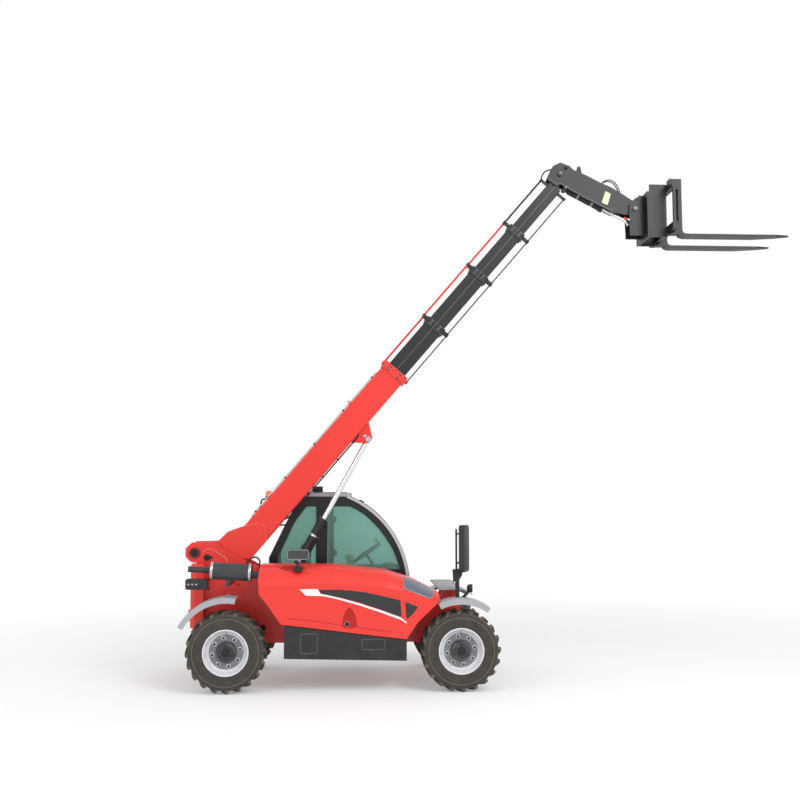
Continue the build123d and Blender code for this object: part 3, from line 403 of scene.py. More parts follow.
slotFinish = {
    "tyre": "blackPlastic", "rim": "rim", "steel_dark": "castIron", "pad": "pad", "red": "red",
    "charcoal": "charcoal", "steel": "steel", "black_steel": "blackSteel", "chrome": "chrome",
    "iron": "castIron", "black_plastic": "blackPlastic", "silencer": "silencer",
    "grey_plastic": "greyPlastic",
    "black_paint": "blackPaint", "glass": "cabGlass", "seat": "seatCloth", "red_plastic": "redPlastic",
}
ownMaterial = {"counterweight": finishes["red"], "boom_pin": finishes["castIron"]}
for corner in wheelMiddle:
    ownMaterial["rim_" + corner] = wheelRimMaterial(corner)
    finishes["tyre_" + corner] = tyreMaterial(corner)
    ownMaterial["tyre_" + corner] = finishes["tyre_" + corner]
for node in guideTubes:
    ownMaterial[node] = sectionMaterial(node)
for entry in record["subparts"]:
    mesh = nodes[entry["node"]].data
    mesh.materials.clear()
    mesh.materials.append(ownMaterial.get(entry["node"], finishes[slotFinish[entry["material_slot"]]]))
print("finishes laid on", len(nodes), "nodes")


# shapes: each one is a grid of points worked out at once, and a piece is several of them joined

def unit(vector):
    # each vector divided by its length
    vector = np.asarray(vector, float)
    return vector / np.linalg.norm(vector, axis=-1, keepdims=True)


def gridShape(points, roundRows=False, roundColumns=False, capStart=False, capEnd=False):
    # the points of a rows by columns grid, joined in fours; a cap closes the first or the last row
    rows, columns = points.shape[:2]
    index = np.arange(rows * columns).reshape(rows, columns)
    caps = [index[0, ::-1].tolist()] * capStart + [index[-1].tolist()] * capEnd
    if roundRows:
        index = np.vstack([index, index[:1]])
    if roundColumns:
        index = np.hstack([index, index[:, :1]])
    fours = np.stack([index[:-1, :-1], index[:-1, 1:], index[1:, 1:], index[1:, :-1]], axis=-1)
    return points.reshape(-1, 3), fours.reshape(-1, 4).tolist() + caps


def newPiece(name, shapes, finishName, body, crease=38.0):
    # shapes joined in one mesh, doubles merged, faces turned outwards, shading soft across shallow corners
    starts = np.cumsum([0] + [len(points) for points, _ in shapes])
    points = np.vstack([points for points, _ in shapes])
    faces = [[corner + int(start) for corner in face] for (_, own), start in zip(shapes, starts)
             for face in own]
    mesh = bpy.data.meshes.new(name)
    mesh.from_pydata(points.tolist(), [], faces)
    work = bmesh.new()
    work.from_mesh(mesh)
    bmesh.ops.remove_doubles(work, verts=work.verts, dist=2e-6)
    bmesh.ops.recalc_face_normals(work, faces=work.faces)
    work.to_mesh(mesh)
    work.free()
    mesh.polygons.foreach_set("use_smooth", np.ones(len(mesh.polygons), bool))
    mesh.set_sharp_from_angle(angle=math.radians(crease))
    mesh.materials.append(finishes[finishName])
    piece = bpy.data.objects.new(name, mesh)
    bpy.context.scene.collection.objects.link(piece)
    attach(piece, body)
    return piece


def turned(profile, centre, axis, count=24, closed=False, phase=0.0):
    # rows of radius and height, each carried round the axis in count equal turns
    profile = np.asarray(profile, float)
    axis = unit(axis)
    side = unit(np.cross(axis, upwards if abs(axis[2]) < 0.9 else forwards))
    angle = phase + np.arange(count) * 2 * np.pi / count
    ring = np.cos(angle)[:, None] * side + np.sin(angle)[:, None] * np.cross(axis, side)
    points = np.asarray(centre) + profile[None, :, :1] * ring[:, None, :] + profile[None, :, 1:] * axis
    return gridShape(points, roundRows=True, roundColumns=closed)


def circle(radius, count=10, flat=1.0):
    # cosine and sine of equal turns, times the radius; flat squeezes the second
    angle = np.arange(count) * 2 * np.pi / count
    return np.stack([radius * np.cos(angle), radius * flat * np.sin(angle)], axis=1)


def hoop(radius, thickness, centre, axis, count=64, flat=1.0):
    # a small circle carried round a large one
    small = circle(thickness, 10, flat)
    return turned(small + (radius, 0.0), centre, axis, count, closed=True)


def alongPath(path, profile, up=upwards, closed=False):
    # a profile of sideways and upwards rows, carried along a path and kept square to its direction
    path = np.asarray(path, float)
    ahead = np.roll(path, -1, 0) - np.roll(path, 1, 0) if closed else np.gradient(path, axis=0)
    ahead = unit(ahead)
    side = unit(np.cross(ahead, np.asarray(up, float)))
    top = np.cross(side, ahead)
    points = path[:, None] + profile[None, :, :1] * side[:, None] + profile[None, :, 1:] * top[:, None]
    return gridShape(points, roundRows=closed, roundColumns=True, capStart=not closed, capEnd=not closed)


def smoothLine(points, steps=8, closed=False):
    # cubic spans through the points, whose slope at each is half the step between its two neighbours
    points = np.asarray(points, float)
    if closed:
        padded = np.vstack([points[-1:], points, points[:2]])
    else:
        padded = np.vstack([2 * points[:1] - points[1:2], points, 2 * points[-1:] - points[-2:-1]])
    before, here, there, after = padded[:-3], padded[1:-2], padded[2:-1], padded[3:]
    t = (np.arange(steps) / steps)[None, :, None]
    a, b, c, d = before[:, None], here[:, None], there[:, None], after[:, None]
    line = 0.5 * (2 * b + (c - a) * t + (2 * a - 5 * b + 4 * c - d) * t ** 2 + (3 * b - a - 3 * c + d)
                  * t ** 3)
    line = line.reshape(-1, points.shape[1])
    return line if closed else np.vstack([line, points[-1:]])


def wire(points, radius, steps=8, count=10, flat=1.0, up=upwards, closed=False):
    # a round bar carried along a smooth line through the points
    return alongPath(smoothLine(points, steps, closed), circle(radius, count, flat), up, closed)


def roundedLine(points, cut, count=5, closed=False):
    # corners replaced by short curves that lean on the corner: squares of the two shares weigh the ends
    points = np.asarray(points, float)
    here = points if closed else points[1:-1]
    back = np.roll(points, 1, 0) if closed else points[:-2]
    ahead = np.roll(points, -1, 0) if closed else points[2:]
    start, stop = here + unit(back - here) * cut, here + unit(ahead - here) * cut
    t = np.linspace(0.0, 1.0, count)[None, :, None]
    line = (start[:, None] * (1 - t) ** 2 + here[:, None] * 2 * t * (1 - t) + stop[:, None] * t ** 2)
    line = line.reshape(-1, points.shape[1])
    return line if closed else np.vstack([points[:1], line, points[-1:]])


def slab(outline, low, high, edge, place):
    # rings of a flat outline, each drawn in a little more as it rises, so that the rim is rounded
    outline = np.asarray(outline, float)
    following = np.roll(outline, -1, 0)
    if np.sum(outline[:, 0] * following[:, 1] - outline[:, 1] * following[:, 0]) < 0:
        outline = outline[::-1]
        following = np.roll(outline, -1, 0)
    after = unit(following - outline)
    before = np.roll(after, 1, 0)
    inwards = np.stack([-before[:, 1] - after[:, 1], before[:, 0] + after[:, 0]], axis=1)
    inwards /= 1 + np.sum(before * after, axis=1, keepdims=True)
    way = 1.0 if high > low else -1.0
    steps = np.array([0.0, 0.0, 0.3, 1.0]) * edge
    heights = np.array([low, high - way * edge, high - way * 0.3 * edge, high])
    rings = outline[None] + steps[:, None, None] * inwards[None]
    levels = np.broadcast_to(heights[:, None], rings.shape[:2])
    return gridShape(place(rings[..., 0], rings[..., 1], levels), roundColumns=True, capStart=True,
                     capEnd=True)


def frameBand(outer, inner, low, high, place):
    # a flat ring between two outlines with the same number of corners, as a closed profile of four rings
    outer, inner = np.asarray(outer, float), np.asarray(inner, float)
    rings = np.stack([outer, outer, inner, inner])
    levels = np.broadcast_to(np.array([low, high, high, low], float)[:, None], rings.shape[:2])
    return gridShape(place(rings[..., 0], rings[..., 1], levels), roundRows=True, roundColumns=True)


def roundedRect(x0, x1, z0, z1, radius, count=5):
    # four quarter circles about the corners' centres
    angle = np.linspace(0.0, np.pi / 2, count)
    corners = [(x1 - radius, z1 - radius, 0.0), (x0 + radius, z1 - radius, np.pi / 2),
               (x0 + radius, z0 + radius, np.pi), (x1 - radius, z0 + radius, 1.5 * np.pi)]
    return np.vstack([np.stack([x + radius * np.cos(angle + start), z + radius * np.sin(angle + start)],
                               axis=1) for x, z, start in corners])


def hexBolt(centre, axis, across, washer=True):
    # a chamfered six-sided head on a round washer
    radius = across / math.sqrt(3)
    head = [(0.0, 0.0), (radius, 0.0), (radius, across * 0.5), (radius * 0.86, across * 0.62),
            (0.0, across * 0.62)]
    shapes = [turned(head, centre, axis, 6)]
    if washer:
        ring = [(0.0, -0.001), (across * 0.92, -0.001), (across * 0.92, across * 0.1),
                (across * 0.86, across * 0.14), (0.0, across * 0.14)]
        shapes.append(turned(ring, centre, axis, 16))
    return shapes


# wheels: nuts, studs and hub cover trim

wheelTrim = {
    "disc": 0.8145, "cover": 0.8745, "nuts": 8, "nutCircle": 0.145, "across": 0.026,
    "stud": [(0.0, 0.0), (0.008, 0.0), (0.008, 0.027), (0.006, 0.029), (0.0, 0.029)],
    "collar": [(0.0, -0.001), (0.024, -0.001), (0.023, 0.003), (0.017, 0.005), (0.0, 0.005)],
    "cap": [(0.0, -0.001), (0.050, -0.001), (0.048, 0.006), (0.030, 0.009), (0.0, 0.0095)],
    "capHoop": (0.070, 0.004), "capBolts": 6, "capCircle": 0.060, "capAcross": 0.009,
    "bead": [(0.340, 0.1505)], "beadThick": 0.0030,
    "ribs": [(0.262, 0.1462), (0.300, 0.1500), (0.366, 0.1482)], "ribThick": 0.0026,
    "valveUp": 0.188, "valve": [(-0.012, 0.0), (0.012, 0.0), (0.034, -0.010)], "valveRadius": 0.004,
}


def aroundAxle(middle, radius, turn):
    # cosine of the turn ahead and sine of it up, times the radius
    return middle + radius * np.array([math.cos(turn), 0.0, math.sin(turn)])


def tyreHoops(centre, axis, rows, thick):
    # hoops of a radius and a distance from the tyre's middle, on both of its walls
    return [hoop(radius, thick, centre + np.array([0.0, side * y, 0.0]), axis, 72)
            for side in (-1.0, 1.0) for radius, y in rows]


def wheelDetails(corner):
    # the small parts of a wheel, set on circles about its axle and mirrored for the left side
    centre = wheelMiddle[corner]
    way = math.copysign(1.0, centre[1])
    body = "wheel_" + corner
    axis = (0.0, way, 0.0)
    face = np.array([centre[0], way * wheelTrim["disc"], centre[2]])
    front = np.array([centre[0], way * wheelTrim["cover"], centre[2]])
    nuts, collars = [], []
    for turn in (np.arange(wheelTrim["nuts"]) + 0.25) * 2 * np.pi / wheelTrim["nuts"]:
        middle = aroundAxle(face, wheelTrim["nutCircle"], turn)
        nuts += hexBolt(middle, axis, wheelTrim["across"], washer=False)
        nuts.append(turned(wheelTrim["stud"], middle, axis, 12))
        collars.append(turned(wheelTrim["collar"], middle, axis, 20))
    newPiece("wheelNuts_" + corner, nuts, "castIron", body)
    newPiece("wheelNutCollars_" + corner, collars, "steel", body)
    cover = [hoop(*wheelTrim["capHoop"], front, axis, 48), turned(wheelTrim["cap"], front, axis, 36)]
    for turn in (np.arange(wheelTrim["capBolts"]) + 0.5) * np.pi / 3:
        cover += hexBolt(aroundAxle(front, wheelTrim["capCircle"], turn), axis, wheelTrim["capAcross"],
                         washer=False)
    newPiece("hubCover_" + corner, cover, "blackPaint", body)
    newPiece("tyreBead_" + corner, tyreHoops(centre, axis, wheelTrim["bead"], wheelTrim["beadThick"]),
             "tyreBeige", body)
    newPiece("tyreRibs_" + corner, tyreHoops(centre, axis, wheelTrim["ribs"], wheelTrim["ribThick"]),
             "tyreDark", body)
    valve = face + np.array([0.0, 0.0, wheelTrim["valveUp"]])
    stem = [valve + (0.0, way * out, rise) for out, rise in wheelTrim["valve"]]
    newPiece("tyreValve_" + corner, [wire(stem, wheelTrim["valveRadius"], up=forwards)], "hoseRubber", body)


for corner in wheelMiddle:
    wheelDetails(corner)
print("wheels dressed")

# bonnet: white sweep under the grille, lock with the painted shade of its pocket, the painted shade of the
# crease, grille plates with slats

bonnetTrim = {
    "sweep": [(750, 1051), (934, 1054), (962, 1006), (1062, 985), (1160, 963), (1374, 904), (1590, 834),
              (1786, 762), (1859, 706), (1850, 697), (1800, 734), (1590, 811), (1374, 884), (1160, 945),
              (1062, 968), (985, 983), (812, 988)],
    "sweepProud": 1.6,
    "pocket": [(1197, 659), (1190, 713), (1198, 770), (1222, 830), (1262, 868), (1302, 830), (1330, 770),
               (1340, 713), (1333, 659)],
    "pocketProud": 0.8, "pocketRim": 0.0032,
    "crease": [(612, 757), (860, 733), (1159, 690), (1363, 658), (1700, 613)], "creaseRadius": 0.0034,
    "lockAt": (1240.0, 698.0), "lockHoop": (0.024, 0.0022),
    "lock": [(0.0, -0.001), (0.022, -0.001), (0.022, 0.006), (0.017, 0.010), (0.012, 0.010), (0.010, 0.006),
             (0.0, 0.006)],
}
bonnetSides = np.array([(310, -872), (1100, -880), (1650, -878), (1950, -868), (2210, -840)], float)


def bonnetWall(x, z, out):
    # the bonnet's side face, whose y is read along its length, and out millimetres proud of it
    return sideWall(x, z, np.interp(x, bonnetSides[:, 0], bonnetSides[:, 1]) - out)


def denseOutline(points, cut, step=24.0):
    # an outline with rounded corners and points no further apart than a step, to follow a bent face
    line = roundedLine(points, cut, 4, closed=True)
    following = np.roll(line, -1, 0)
    counts = np.maximum(1, np.ceil(np.linalg.norm(following - line, axis=1) / step).astype(int))
    return np.vstack([start + (stop - start) * np.arange(count)[:, None] / count
                      for start, stop, count in zip(line, following, counts)])


def spanAt(outline, xs):
    # where a vertical line at each x crosses the outline: the lowest and the highest crossing
    following = np.roll(outline, -1, 0)
    spans = []
    for x in xs:
        crossing = ((outline[:, 0] - x) * (following[:, 0] - x) <= 0) & (outline[:, 0] != following[:, 0])
        share = (x - outline[crossing, 0]) / (following[crossing, 0] - outline[crossing, 0])
        hits = outline[crossing, 1] + share * (following[crossing, 1] - outline[crossing, 1])
        spans.append((hits.min(), hits.max()))
    return np.array(spans)


def wallPatch(outline, proud):
    # an outline laid on the bent side face by upright columns, closed by its own underside
    reach = outline[:, 0].min() + 0.4, outline[:, 0].max() - 0.4
    xs = np.linspace(*reach, max(10, int((reach[1] - reach[0]) / 11)))
    spans = spanAt(outline, xs)
    z = spans[:, :1] + (spans[:, 1:] - spans[:, :1]) * np.linspace(0.0, 1.0, 9)[None]
    x = np.broadcast_to(xs[:, None], z.shape)
    rings = np.concatenate([bonnetWall(x, z, proud), bonnetWall(x, z, -1.0)[:, ::-1]], axis=1)
    return gridShape(rings, roundColumns=True, capStart=True, capEnd=True)


newPiece("whiteSweep", [wallPatch(denseOutline(bonnetTrim["sweep"], 4), bonnetTrim["sweepProud"])], "white",
         "bonnet")
# the pocket is a thin patch of deep red, painted shade of the recess round the lock
pocketLine = smoothLine(bonnetTrim["pocket"], 6, closed=True)
newPiece("lockPocketShade", [wallPatch(pocketLine, bonnetTrim["pocketProud"])], "redDeep", "bonnet")
newPiece("lockPocketRim", [alongPath(bonnetWall(pocketLine[:, 0], pocketLine[:, 1], 0.0),
                                     circle(bonnetTrim["pocketRim"], 8, 0.8), rightwards, closed=True)],
         "redPlastic", "bonnet")
lockAt = bonnetWall(*bonnetTrim["lockAt"], 0.0)
newPiece("bonnetLock", [turned(bonnetTrim["lock"], lockAt, rightwards, 28)], "blackPaint", "bonnet")
newPiece("bonnetLockRing", [hoop(*bonnetTrim["lockHoop"], lockAt - (0.0, 0.001, 0.0), rightwards, 40)],
         "steel", "bonnet")
# the crease is a thin deep red line, painted shade of the step in the skin
crease = smoothLine(bonnetTrim["crease"], 8)
newPiece("bonnetCreaseShade", [alongPath(bonnetWall(crease[:, 0], crease[:, 1], 0.0),
                                    circle(bonnetTrim["creaseRadius"], 8, 0.45), rightwards)],
         "redDeep", "bonnet")

grilleTrim = {
    "openings": [
        [(944, 1047), (1160, 1047), (1416, 1022), (1612, 978), (1790, 936), (1802, 762), (1612, 832),
         (1394, 905), (1160, 968), (962, 1009)],
        [(1836, 918), (1976, 866), (1930, 806), (1852, 732)],
    ],
    "proud": 0.9, "levels": (700.0, 1300.0), "pitch": 26.0, "fall": 0.22, "fallFrom": 900.0,
    "slat": 9.0, "slatProud": 3.2, "slatOut": 1.2, "inset": 6.0, "shortest": 20.0,
    "section": [(-0.5, -1.0), (0.5, -1.0), (0.35, 0.4), (-0.35, 0.4)],
}


def grilleSlat(outline, level):
    # a slat along a line that falls forwards, cut short of where that line crosses the outline
    following = np.roll(outline, -1, 0)
    height = outline[:, 1] + grilleTrim["fall"] * (outline[:, 0] - grilleTrim["fallFrom"]) - level
    after = np.roll(height, -1)
    crossing = height * after < 0
    share = (height[crossing] / (height[crossing] - after[crossing]))[:, None]
    ends = outline[crossing] + share * (following[crossing] - outline[crossing])
    if len(ends) < 2:
        return []
    ends = ends[np.argsort(ends[:, 0])][[0, -1]]
    inset = grilleTrim["inset"]
    reach = ends[1, 0] - ends[0, 0] - 2 * inset
    if reach < grilleTrim["shortest"]:
        return []
    xs = np.linspace(ends[0, 0] + inset, ends[1, 0] - inset, max(3, int(reach // 40)))
    path = bonnetWall(xs, level - grilleTrim["fall"] * (xs - grilleTrim["fallFrom"]), grilleTrim["slatOut"])
    section = np.array(grilleTrim["section"]) * (grilleTrim["slat"] / 1000, grilleTrim["slatProud"] / 1400)
    return [alongPath(path, section, rightwards)]


for number, opening in enumerate(grilleTrim["openings"]):
    outline = denseOutline(opening, 10)
    newPiece("grillePlate_%d" % number, [wallPatch(outline, grilleTrim["proud"])], "grille", "bonnet")
    slats = []
    for level in np.arange(*grilleTrim["levels"], grilleTrim["pitch"]):
        slats += grilleSlat(outline, level)
    newPiece("grilleSlats_%d" % number, slats, "blackPlastic", "bonnet")
print("bonnet dressed")

# hood: the mirror with its foot, the painted shade of its pocket, and the vent panel, on a skin bent round
# the machine's length

hoodRows = np.array([(310, 1285, 1095), (1100, 1280, 1108), (1650, 1220, 1070), (1950, 1120, 1000),
                     (2210, 985, 900)], float)
hoodBend = {"ridgeY": -560.0, "bulge": 88, "bulgeFall": 0.30}


def hoodArc(x):
    # the circle through the hood's ridge, its bulge and its shoulder at x, all three as far from its centre
    top = np.interp(x, hoodRows[:, 0], hoodRows[:, 1])
    low = np.interp(x, hoodRows[:, 0], hoodRows[:, 2])
    outer = np.interp(x, bonnetSides[:, 0], bonnetSides[:, 1])
    ay, az, cy, cz = hoodBend["ridgeY"], top, outer, low
    by, bz = outer + hoodBend["bulge"], top - (top - low) * hoodBend["bulgeFall"]
    d = 2 * (ay * (bz - cz) + by * (cz - az) + cy * (az - bz))
    a2, b2, c2 = ay ** 2 + az ** 2, by ** 2 + bz ** 2, cy ** 2 + cz ** 2
    midY = (a2 * (bz - cz) + b2 * (cz - az) + c2 * (az - bz)) / d
    midZ = (a2 * (cy - by) + b2 * (ay - cy) + c2 * (by - ay)) / d
    return midY, midZ, np.hypot(midY - cy, midZ - cz), top


def hoodPoint(x, y, lift=0.0):
    # the hood's skin at x and y, raised along its own slope
    midY, midZ, radius, top = hoodArc(x)
    z = midZ + np.sqrt(np.maximum(radius ** 2 - (y - midY) ** 2, 0.0))
    outY, outZ = (y - midY) / radius, (z - midZ) / radius
    return spot(x, y + outY * lift, z + outZ * lift)


def hoodAcross(x, z):
    # y on the hood's skin at x and z, kept just under the ridge
    midY, midZ, radius, top = hoodArc(x)
    return midY - np.sqrt(np.maximum(radius ** 2 - (np.minimum(z, top - 1.5) - midZ) ** 2, 0.0))


def hoodPatch(xs, lowY, highY, lift, count=14):
    # a thin patch on the hood: its top from one edge to the other and back again underneath
    share = np.linspace(0.0, 1.0, count)[None]
    y = lowY[:, None] + (highY - lowY)[:, None] * share
    x = np.broadcast_to(xs[:, None], y.shape)
    rings = np.concatenate([hoodPoint(x, y, lift), hoodPoint(x, y, -1.5)[:, ::-1]], axis=1)
    return gridShape(rings, roundColumns=True, capStart=True, capEnd=True)


sideMirror = {
    "pocketX": (540, 800), "pocketY": -740.0, "pocketHalf": 45.0, "pocketLift": 0.9,
    "footAt": (726, -800, 1262), "footWay": (0.0, 0.05, 1.0),
    "foot": [(0.0, -0.03), (0.046, -0.03), (0.046, 0.002), (0.030, 0.014), (0.022, 0.030), (0.020, 0.056),
             (0.014, 0.062), (0.0, 0.062)],
    "stalk": [(724, -800, 1240), (724, -797, 1300), (724, -795, 1362)], "stalkRadius": 0.009,
    "shell": (612, 843, 1349, 1456), "shellY": (-775, -830), "shellCorner": 30,
    "face": (622, 833, 1358, 1447), "faceCorner": 24, "faceY": -830.0, "band": 7,
}
# a deep red patch on the hood beside the mirror foot, painted shade of its pocket
xs = np.linspace(*sideMirror["pocketX"], 26)
share = np.clip((xs - xs[0]) / (xs[-1] - xs[0]), 0.02, 0.98)
swell = sideMirror["pocketHalf"] * np.sqrt(np.sin(np.pi * share))
newPiece("hoodPocketShade", [hoodPatch(xs, sideMirror["pocketY"] - swell, sideMirror["pocketY"] + swell,
                                  sideMirror["pocketLift"])], "redDeep", "bonnet")
stalk = wire([spot(*place) for place in sideMirror["stalk"]], sideMirror["stalkRadius"], up=leftwards)
shell = slab(roundedRect(*sideMirror["shell"], sideMirror["shellCorner"], 7), *sideMirror["shellY"], 9.0,
             sideWall)
foot = turned(sideMirror["foot"], spot(*sideMirror["footAt"]), sideMirror["footWay"], 32)
for name, shape in (("mirrorFoot", foot), ("mirrorShell", shell), ("mirrorStalk", stalk)):
    newPiece(name, [shape], "blackPlastic", "bonnet")


def widerRect(box, more, radius):
    # a rounded rectangle with each side moved out by more
    x0, x1, z0, z1 = box
    return roundedRect(x0 - more, x1 + more, z0 - more, z1 + more, radius)


faceY, corner = sideMirror["faceY"], sideMirror["faceCorner"]
newPiece("mirrorPanel", [slab(roundedRect(*sideMirror["face"], corner), faceY + 1, faceY - 2, 1.2,
                              sideWall)], "darkGloss", "bonnet")
outer = widerRect(sideMirror["face"], sideMirror["band"], corner + sideMirror["band"])
inner = widerRect(sideMirror["face"], 1, corner)
newPiece("mirrorFrame", [frameBand(outer, inner, faceY + 4, faceY - 3, sideWall)], "softGrey", "bonnet")

vent = {"outline": [(1833, 1178), (1927, 1170), (2157, 1010), (2104, 944), (1826, 1055)], "corner": 26,
        "ridge": -566.0, "lift": 2.4, "edgeLift": 3.5, "edge": 0.0042}
ventLine = roundedLine(vent["outline"], vent["corner"], 6, closed=True)
steps = np.linspace(0.0, 1.0, 6, endpoint=False)[None, :, None]
dense = (ventLine[:, None] * (1 - steps) + np.roll(ventLine, -1, 0)[:, None] * steps).reshape(-1, 2)
ventX = np.linspace(dense[:, 0].min() + 1.0, dense[:, 0].max() - 1.0, 40)
ventSpan = spanAt(dense, ventX)
ventY = [hoodAcross(ventX, ventSpan[:, end]) for end in (0, 1)]
newPiece("ventPanel", [hoodPatch(ventX, ventY[0], np.minimum(ventY[1], vent["ridge"]), vent["lift"])],
         "ventGrey", "bonnet")
edgeY = np.minimum(hoodAcross(dense[:, 0], dense[:, 1]), vent["ridge"])
newPiece("ventEdge", [alongPath(hoodPoint(dense[:, 0], edgeY, vent["edgeLift"]), circle(vent["edge"], 8),
                                (0.0, -0.6, 0.8), closed=True)], "softGrey", "bonnet")
print("hood dressed")

# skirt: two outlined covers, and the step on the other side

skirtTrim = {"covers": [(760, 936, 400, 602), (1390, 1630, 436, 545)], "corner": 24, "line": 4.5,
             "y": -880.0}
for number, cover in enumerate(skirtTrim["covers"]):
    bands = [widerRect(cover, -more, skirtTrim["corner"] - more) for more in (0, skirtTrim["line"])]
    newPiece("skirtCover_%d" % number, [frameBand(*bands, skirtTrim["y"] + 1, skirtTrim["y"] - 1.2,
                                                  sideWall)], "outlineGrey", "chassis")

stepTrim = {"outline": (1120, 1500, 800, 896), "corner": 18, "z": 440.0, "bars": 6, "barHalf": 3,
            "inset": (20, 14)}
x0, x1, y0, y1 = stepTrim["outline"]
treads = [slab(roundedRect(x0, x1, y0, y1, stepTrim["corner"]), stepTrim["z"] - 4, stepTrim["z"] + 8, 2.0,
               spot)]
inX, inY = stepTrim["inset"]
for y in np.linspace(y0 + inY, y1 - inY, stepTrim["bars"]):
    bar = roundedRect(x0 + inX, x1 - inX, y - stepTrim["barHalf"], y + stepTrim["barHalf"], 2.5, 3)
    treads.append(slab(bar, stepTrim["z"] + 6, stepTrim["z"] + 13, 1.5, spot))
newPiece("cabStep", treads, "castIron", "chassis")
print("skirt and step dressed")

# exhaust: silver clamps with their bolts, the tail pipe's rim, and a dark disc in its mouth for soot and the
# painted shade of its hollow

exhaustTrim = {
    "from": (-183.7, -750, 1237.3), "to": (245.7, -750, 1214.7), "radius": 0.088, "bands": (0.045, 0.955),
    "band": [(-0.001, -0.012), (0.003, -0.012), (0.0045, -0.010), (0.0045, 0.010), (0.003, 0.012),
             (-0.001, 0.012)],
    "lug": (0.80, 0.66), "lugBolt": 0.013,
    "lugStud": [(0.0, -0.016), (0.005, -0.016), (0.005, 0.014), (0.0, 0.014)],
    "tail": (-414.8, -720, 1251.5), "tailTo": (-165, -720, 1238.5), "rim": (0.0295, 0.0028),
    "sootAndShade": [(0.0, -0.001), (0.0282, -0.001), (0.0282, 0.0006), (0.0, 0.0006)],
}
canFrom, canTo = spot(*exhaustTrim["from"]), spot(*exhaustTrim["to"])
canWay = unit(canTo - canFrom)
canRadius = exhaustTrim["radius"]
bands, bandBolts = [], []
for share in exhaustTrim["bands"]:
    middle = canFrom + (canTo - canFrom) * share
    bands.append(turned([(canRadius + out, along) for out, along in exhaustTrim["band"]], middle, canWay,
                        56, closed=True))
    lug = middle + np.array([0.0, -canRadius * exhaustTrim["lug"][0], -canRadius * exhaustTrim["lug"][1]])
    bandBolts += hexBolt(lug + (0.0, 0.0, 0.012), upwards, exhaustTrim["lugBolt"])
    bandBolts.append(turned(exhaustTrim["lugStud"], lug, upwards, 12))
newPiece("exhaustBands", bands, "steel", "chassis")
newPiece("exhaustBandBolts", bandBolts, "steel", "chassis")
tail = spot(*exhaustTrim["tail"])
tailWay = unit(tail - spot(*exhaustTrim["tailTo"]))
newPiece("tailPipeRim", [hoop(*exhaustTrim["rim"], tail, tailWay, 40)], "steel", "chassis")
# a dark disc in the tail pipe's mouth: soot, and painted shade of the pipe's hollow
newPiece("tailPipeSootAndShade", [turned(exhaustTrim["sootAndShade"], tail, tailWay, 32)], "hoseRubber", "chassis")
print("exhaust dressed")

# tower: a painted highlight along a weld, pins with their keepers, a hose, bolts, tail lamps, reflectors and
# the drawbar's pin

pinCap = [(0.0, -0.001), (0.034, -0.001), (0.034, 0.012), (0.030, 0.016), (0.014, 0.016), (0.012, 0.013),
          (0.0, 0.013)]
towerTrim = {
    "y": -295.0,
    "weld": [(-326, 1400), (-300, 1424), (-260, 1438), (-215, 1424), (-177, 1401), (-102, 1352),
             (-72, 1322),
             (-60, 1296)], "highlightRadius": 0.0042,
    "pin": (-281, 1345), "keeper": 0.045, "keeperBolt": 0.016,
    "pivotY": {"right": -312.0, "left": 72.0}, "pivotHoop": (0.051, 0.0045),
    "pivotCap": [(0.0, -0.001), (0.038, -0.001), (0.036, 0.005), (0.010, 0.006), (0.007, 0.016),
                 (0.0, 0.017)],
    "hose": [(120, 1200), (150, 1290), (205, 1338), (255, 1345), (288, 1300), (282, 1215)], "hoseY": -307,
    "hoseRadius": 0.009, "bolt": 0.018,
    "bolts": [(-255, 1225), (-255, 1120), (-255, 1015), (60, 1190), (180, 1135), (60, 1060), (330, 1040),
              (430, 980)],
}
# the pale red line along the weld is a painted highlight
weld = smoothLine(towerTrim["weld"], 6)
newPiece("towerWeldHighlight", [alongPath(sideWall(weld[:, 0], weld[:, 1], towerTrim["y"]),
                                 circle(towerTrim["highlightRadius"], 8, 0.7), rightwards)], "paleRedHighlight",
         "chassis")
pinAt = spot(towerTrim["pin"][0], towerTrim["y"], towerTrim["pin"][1])
keeper = hexBolt(pinAt + (towerTrim["keeper"], -0.001, 0.0), rightwards, towerTrim["keeperBolt"])
newPiece("towerPin", [turned(pinCap, pinAt, rightwards, 36)] + keeper, "blackPaint", "chassis")
for sideName, way in bothSides:
    pivot = boomPivot + (0.0, towerTrim["pivotY"][sideName] / 1000 - boomPivot[1], 0.0)
    newPiece("pivotRing_" + sideName, [hoop(*towerTrim["pivotHoop"], pivot, (0.0, way, 0.0), 48)],
             "redDeep", "chassis")
    newPiece("pivotCap_" + sideName, [turned(towerTrim["pivotCap"], pivot, (0.0, way, 0.0), 36)],
             "blackPaint", "chassis")
newPiece("towerHose", [wire([spot(x, towerTrim["hoseY"], z) for x, z in towerTrim["hose"]],
                            towerTrim["hoseRadius"], up=rightwards)], "hoseRubber", "chassis")
towerBolts = []
for x, z in towerTrim["bolts"]:
    towerBolts += hexBolt(spot(x, towerTrim["y"], z), rightwards, towerTrim["bolt"])
newPiece("towerBolts", towerBolts, "redDeep", "chassis")

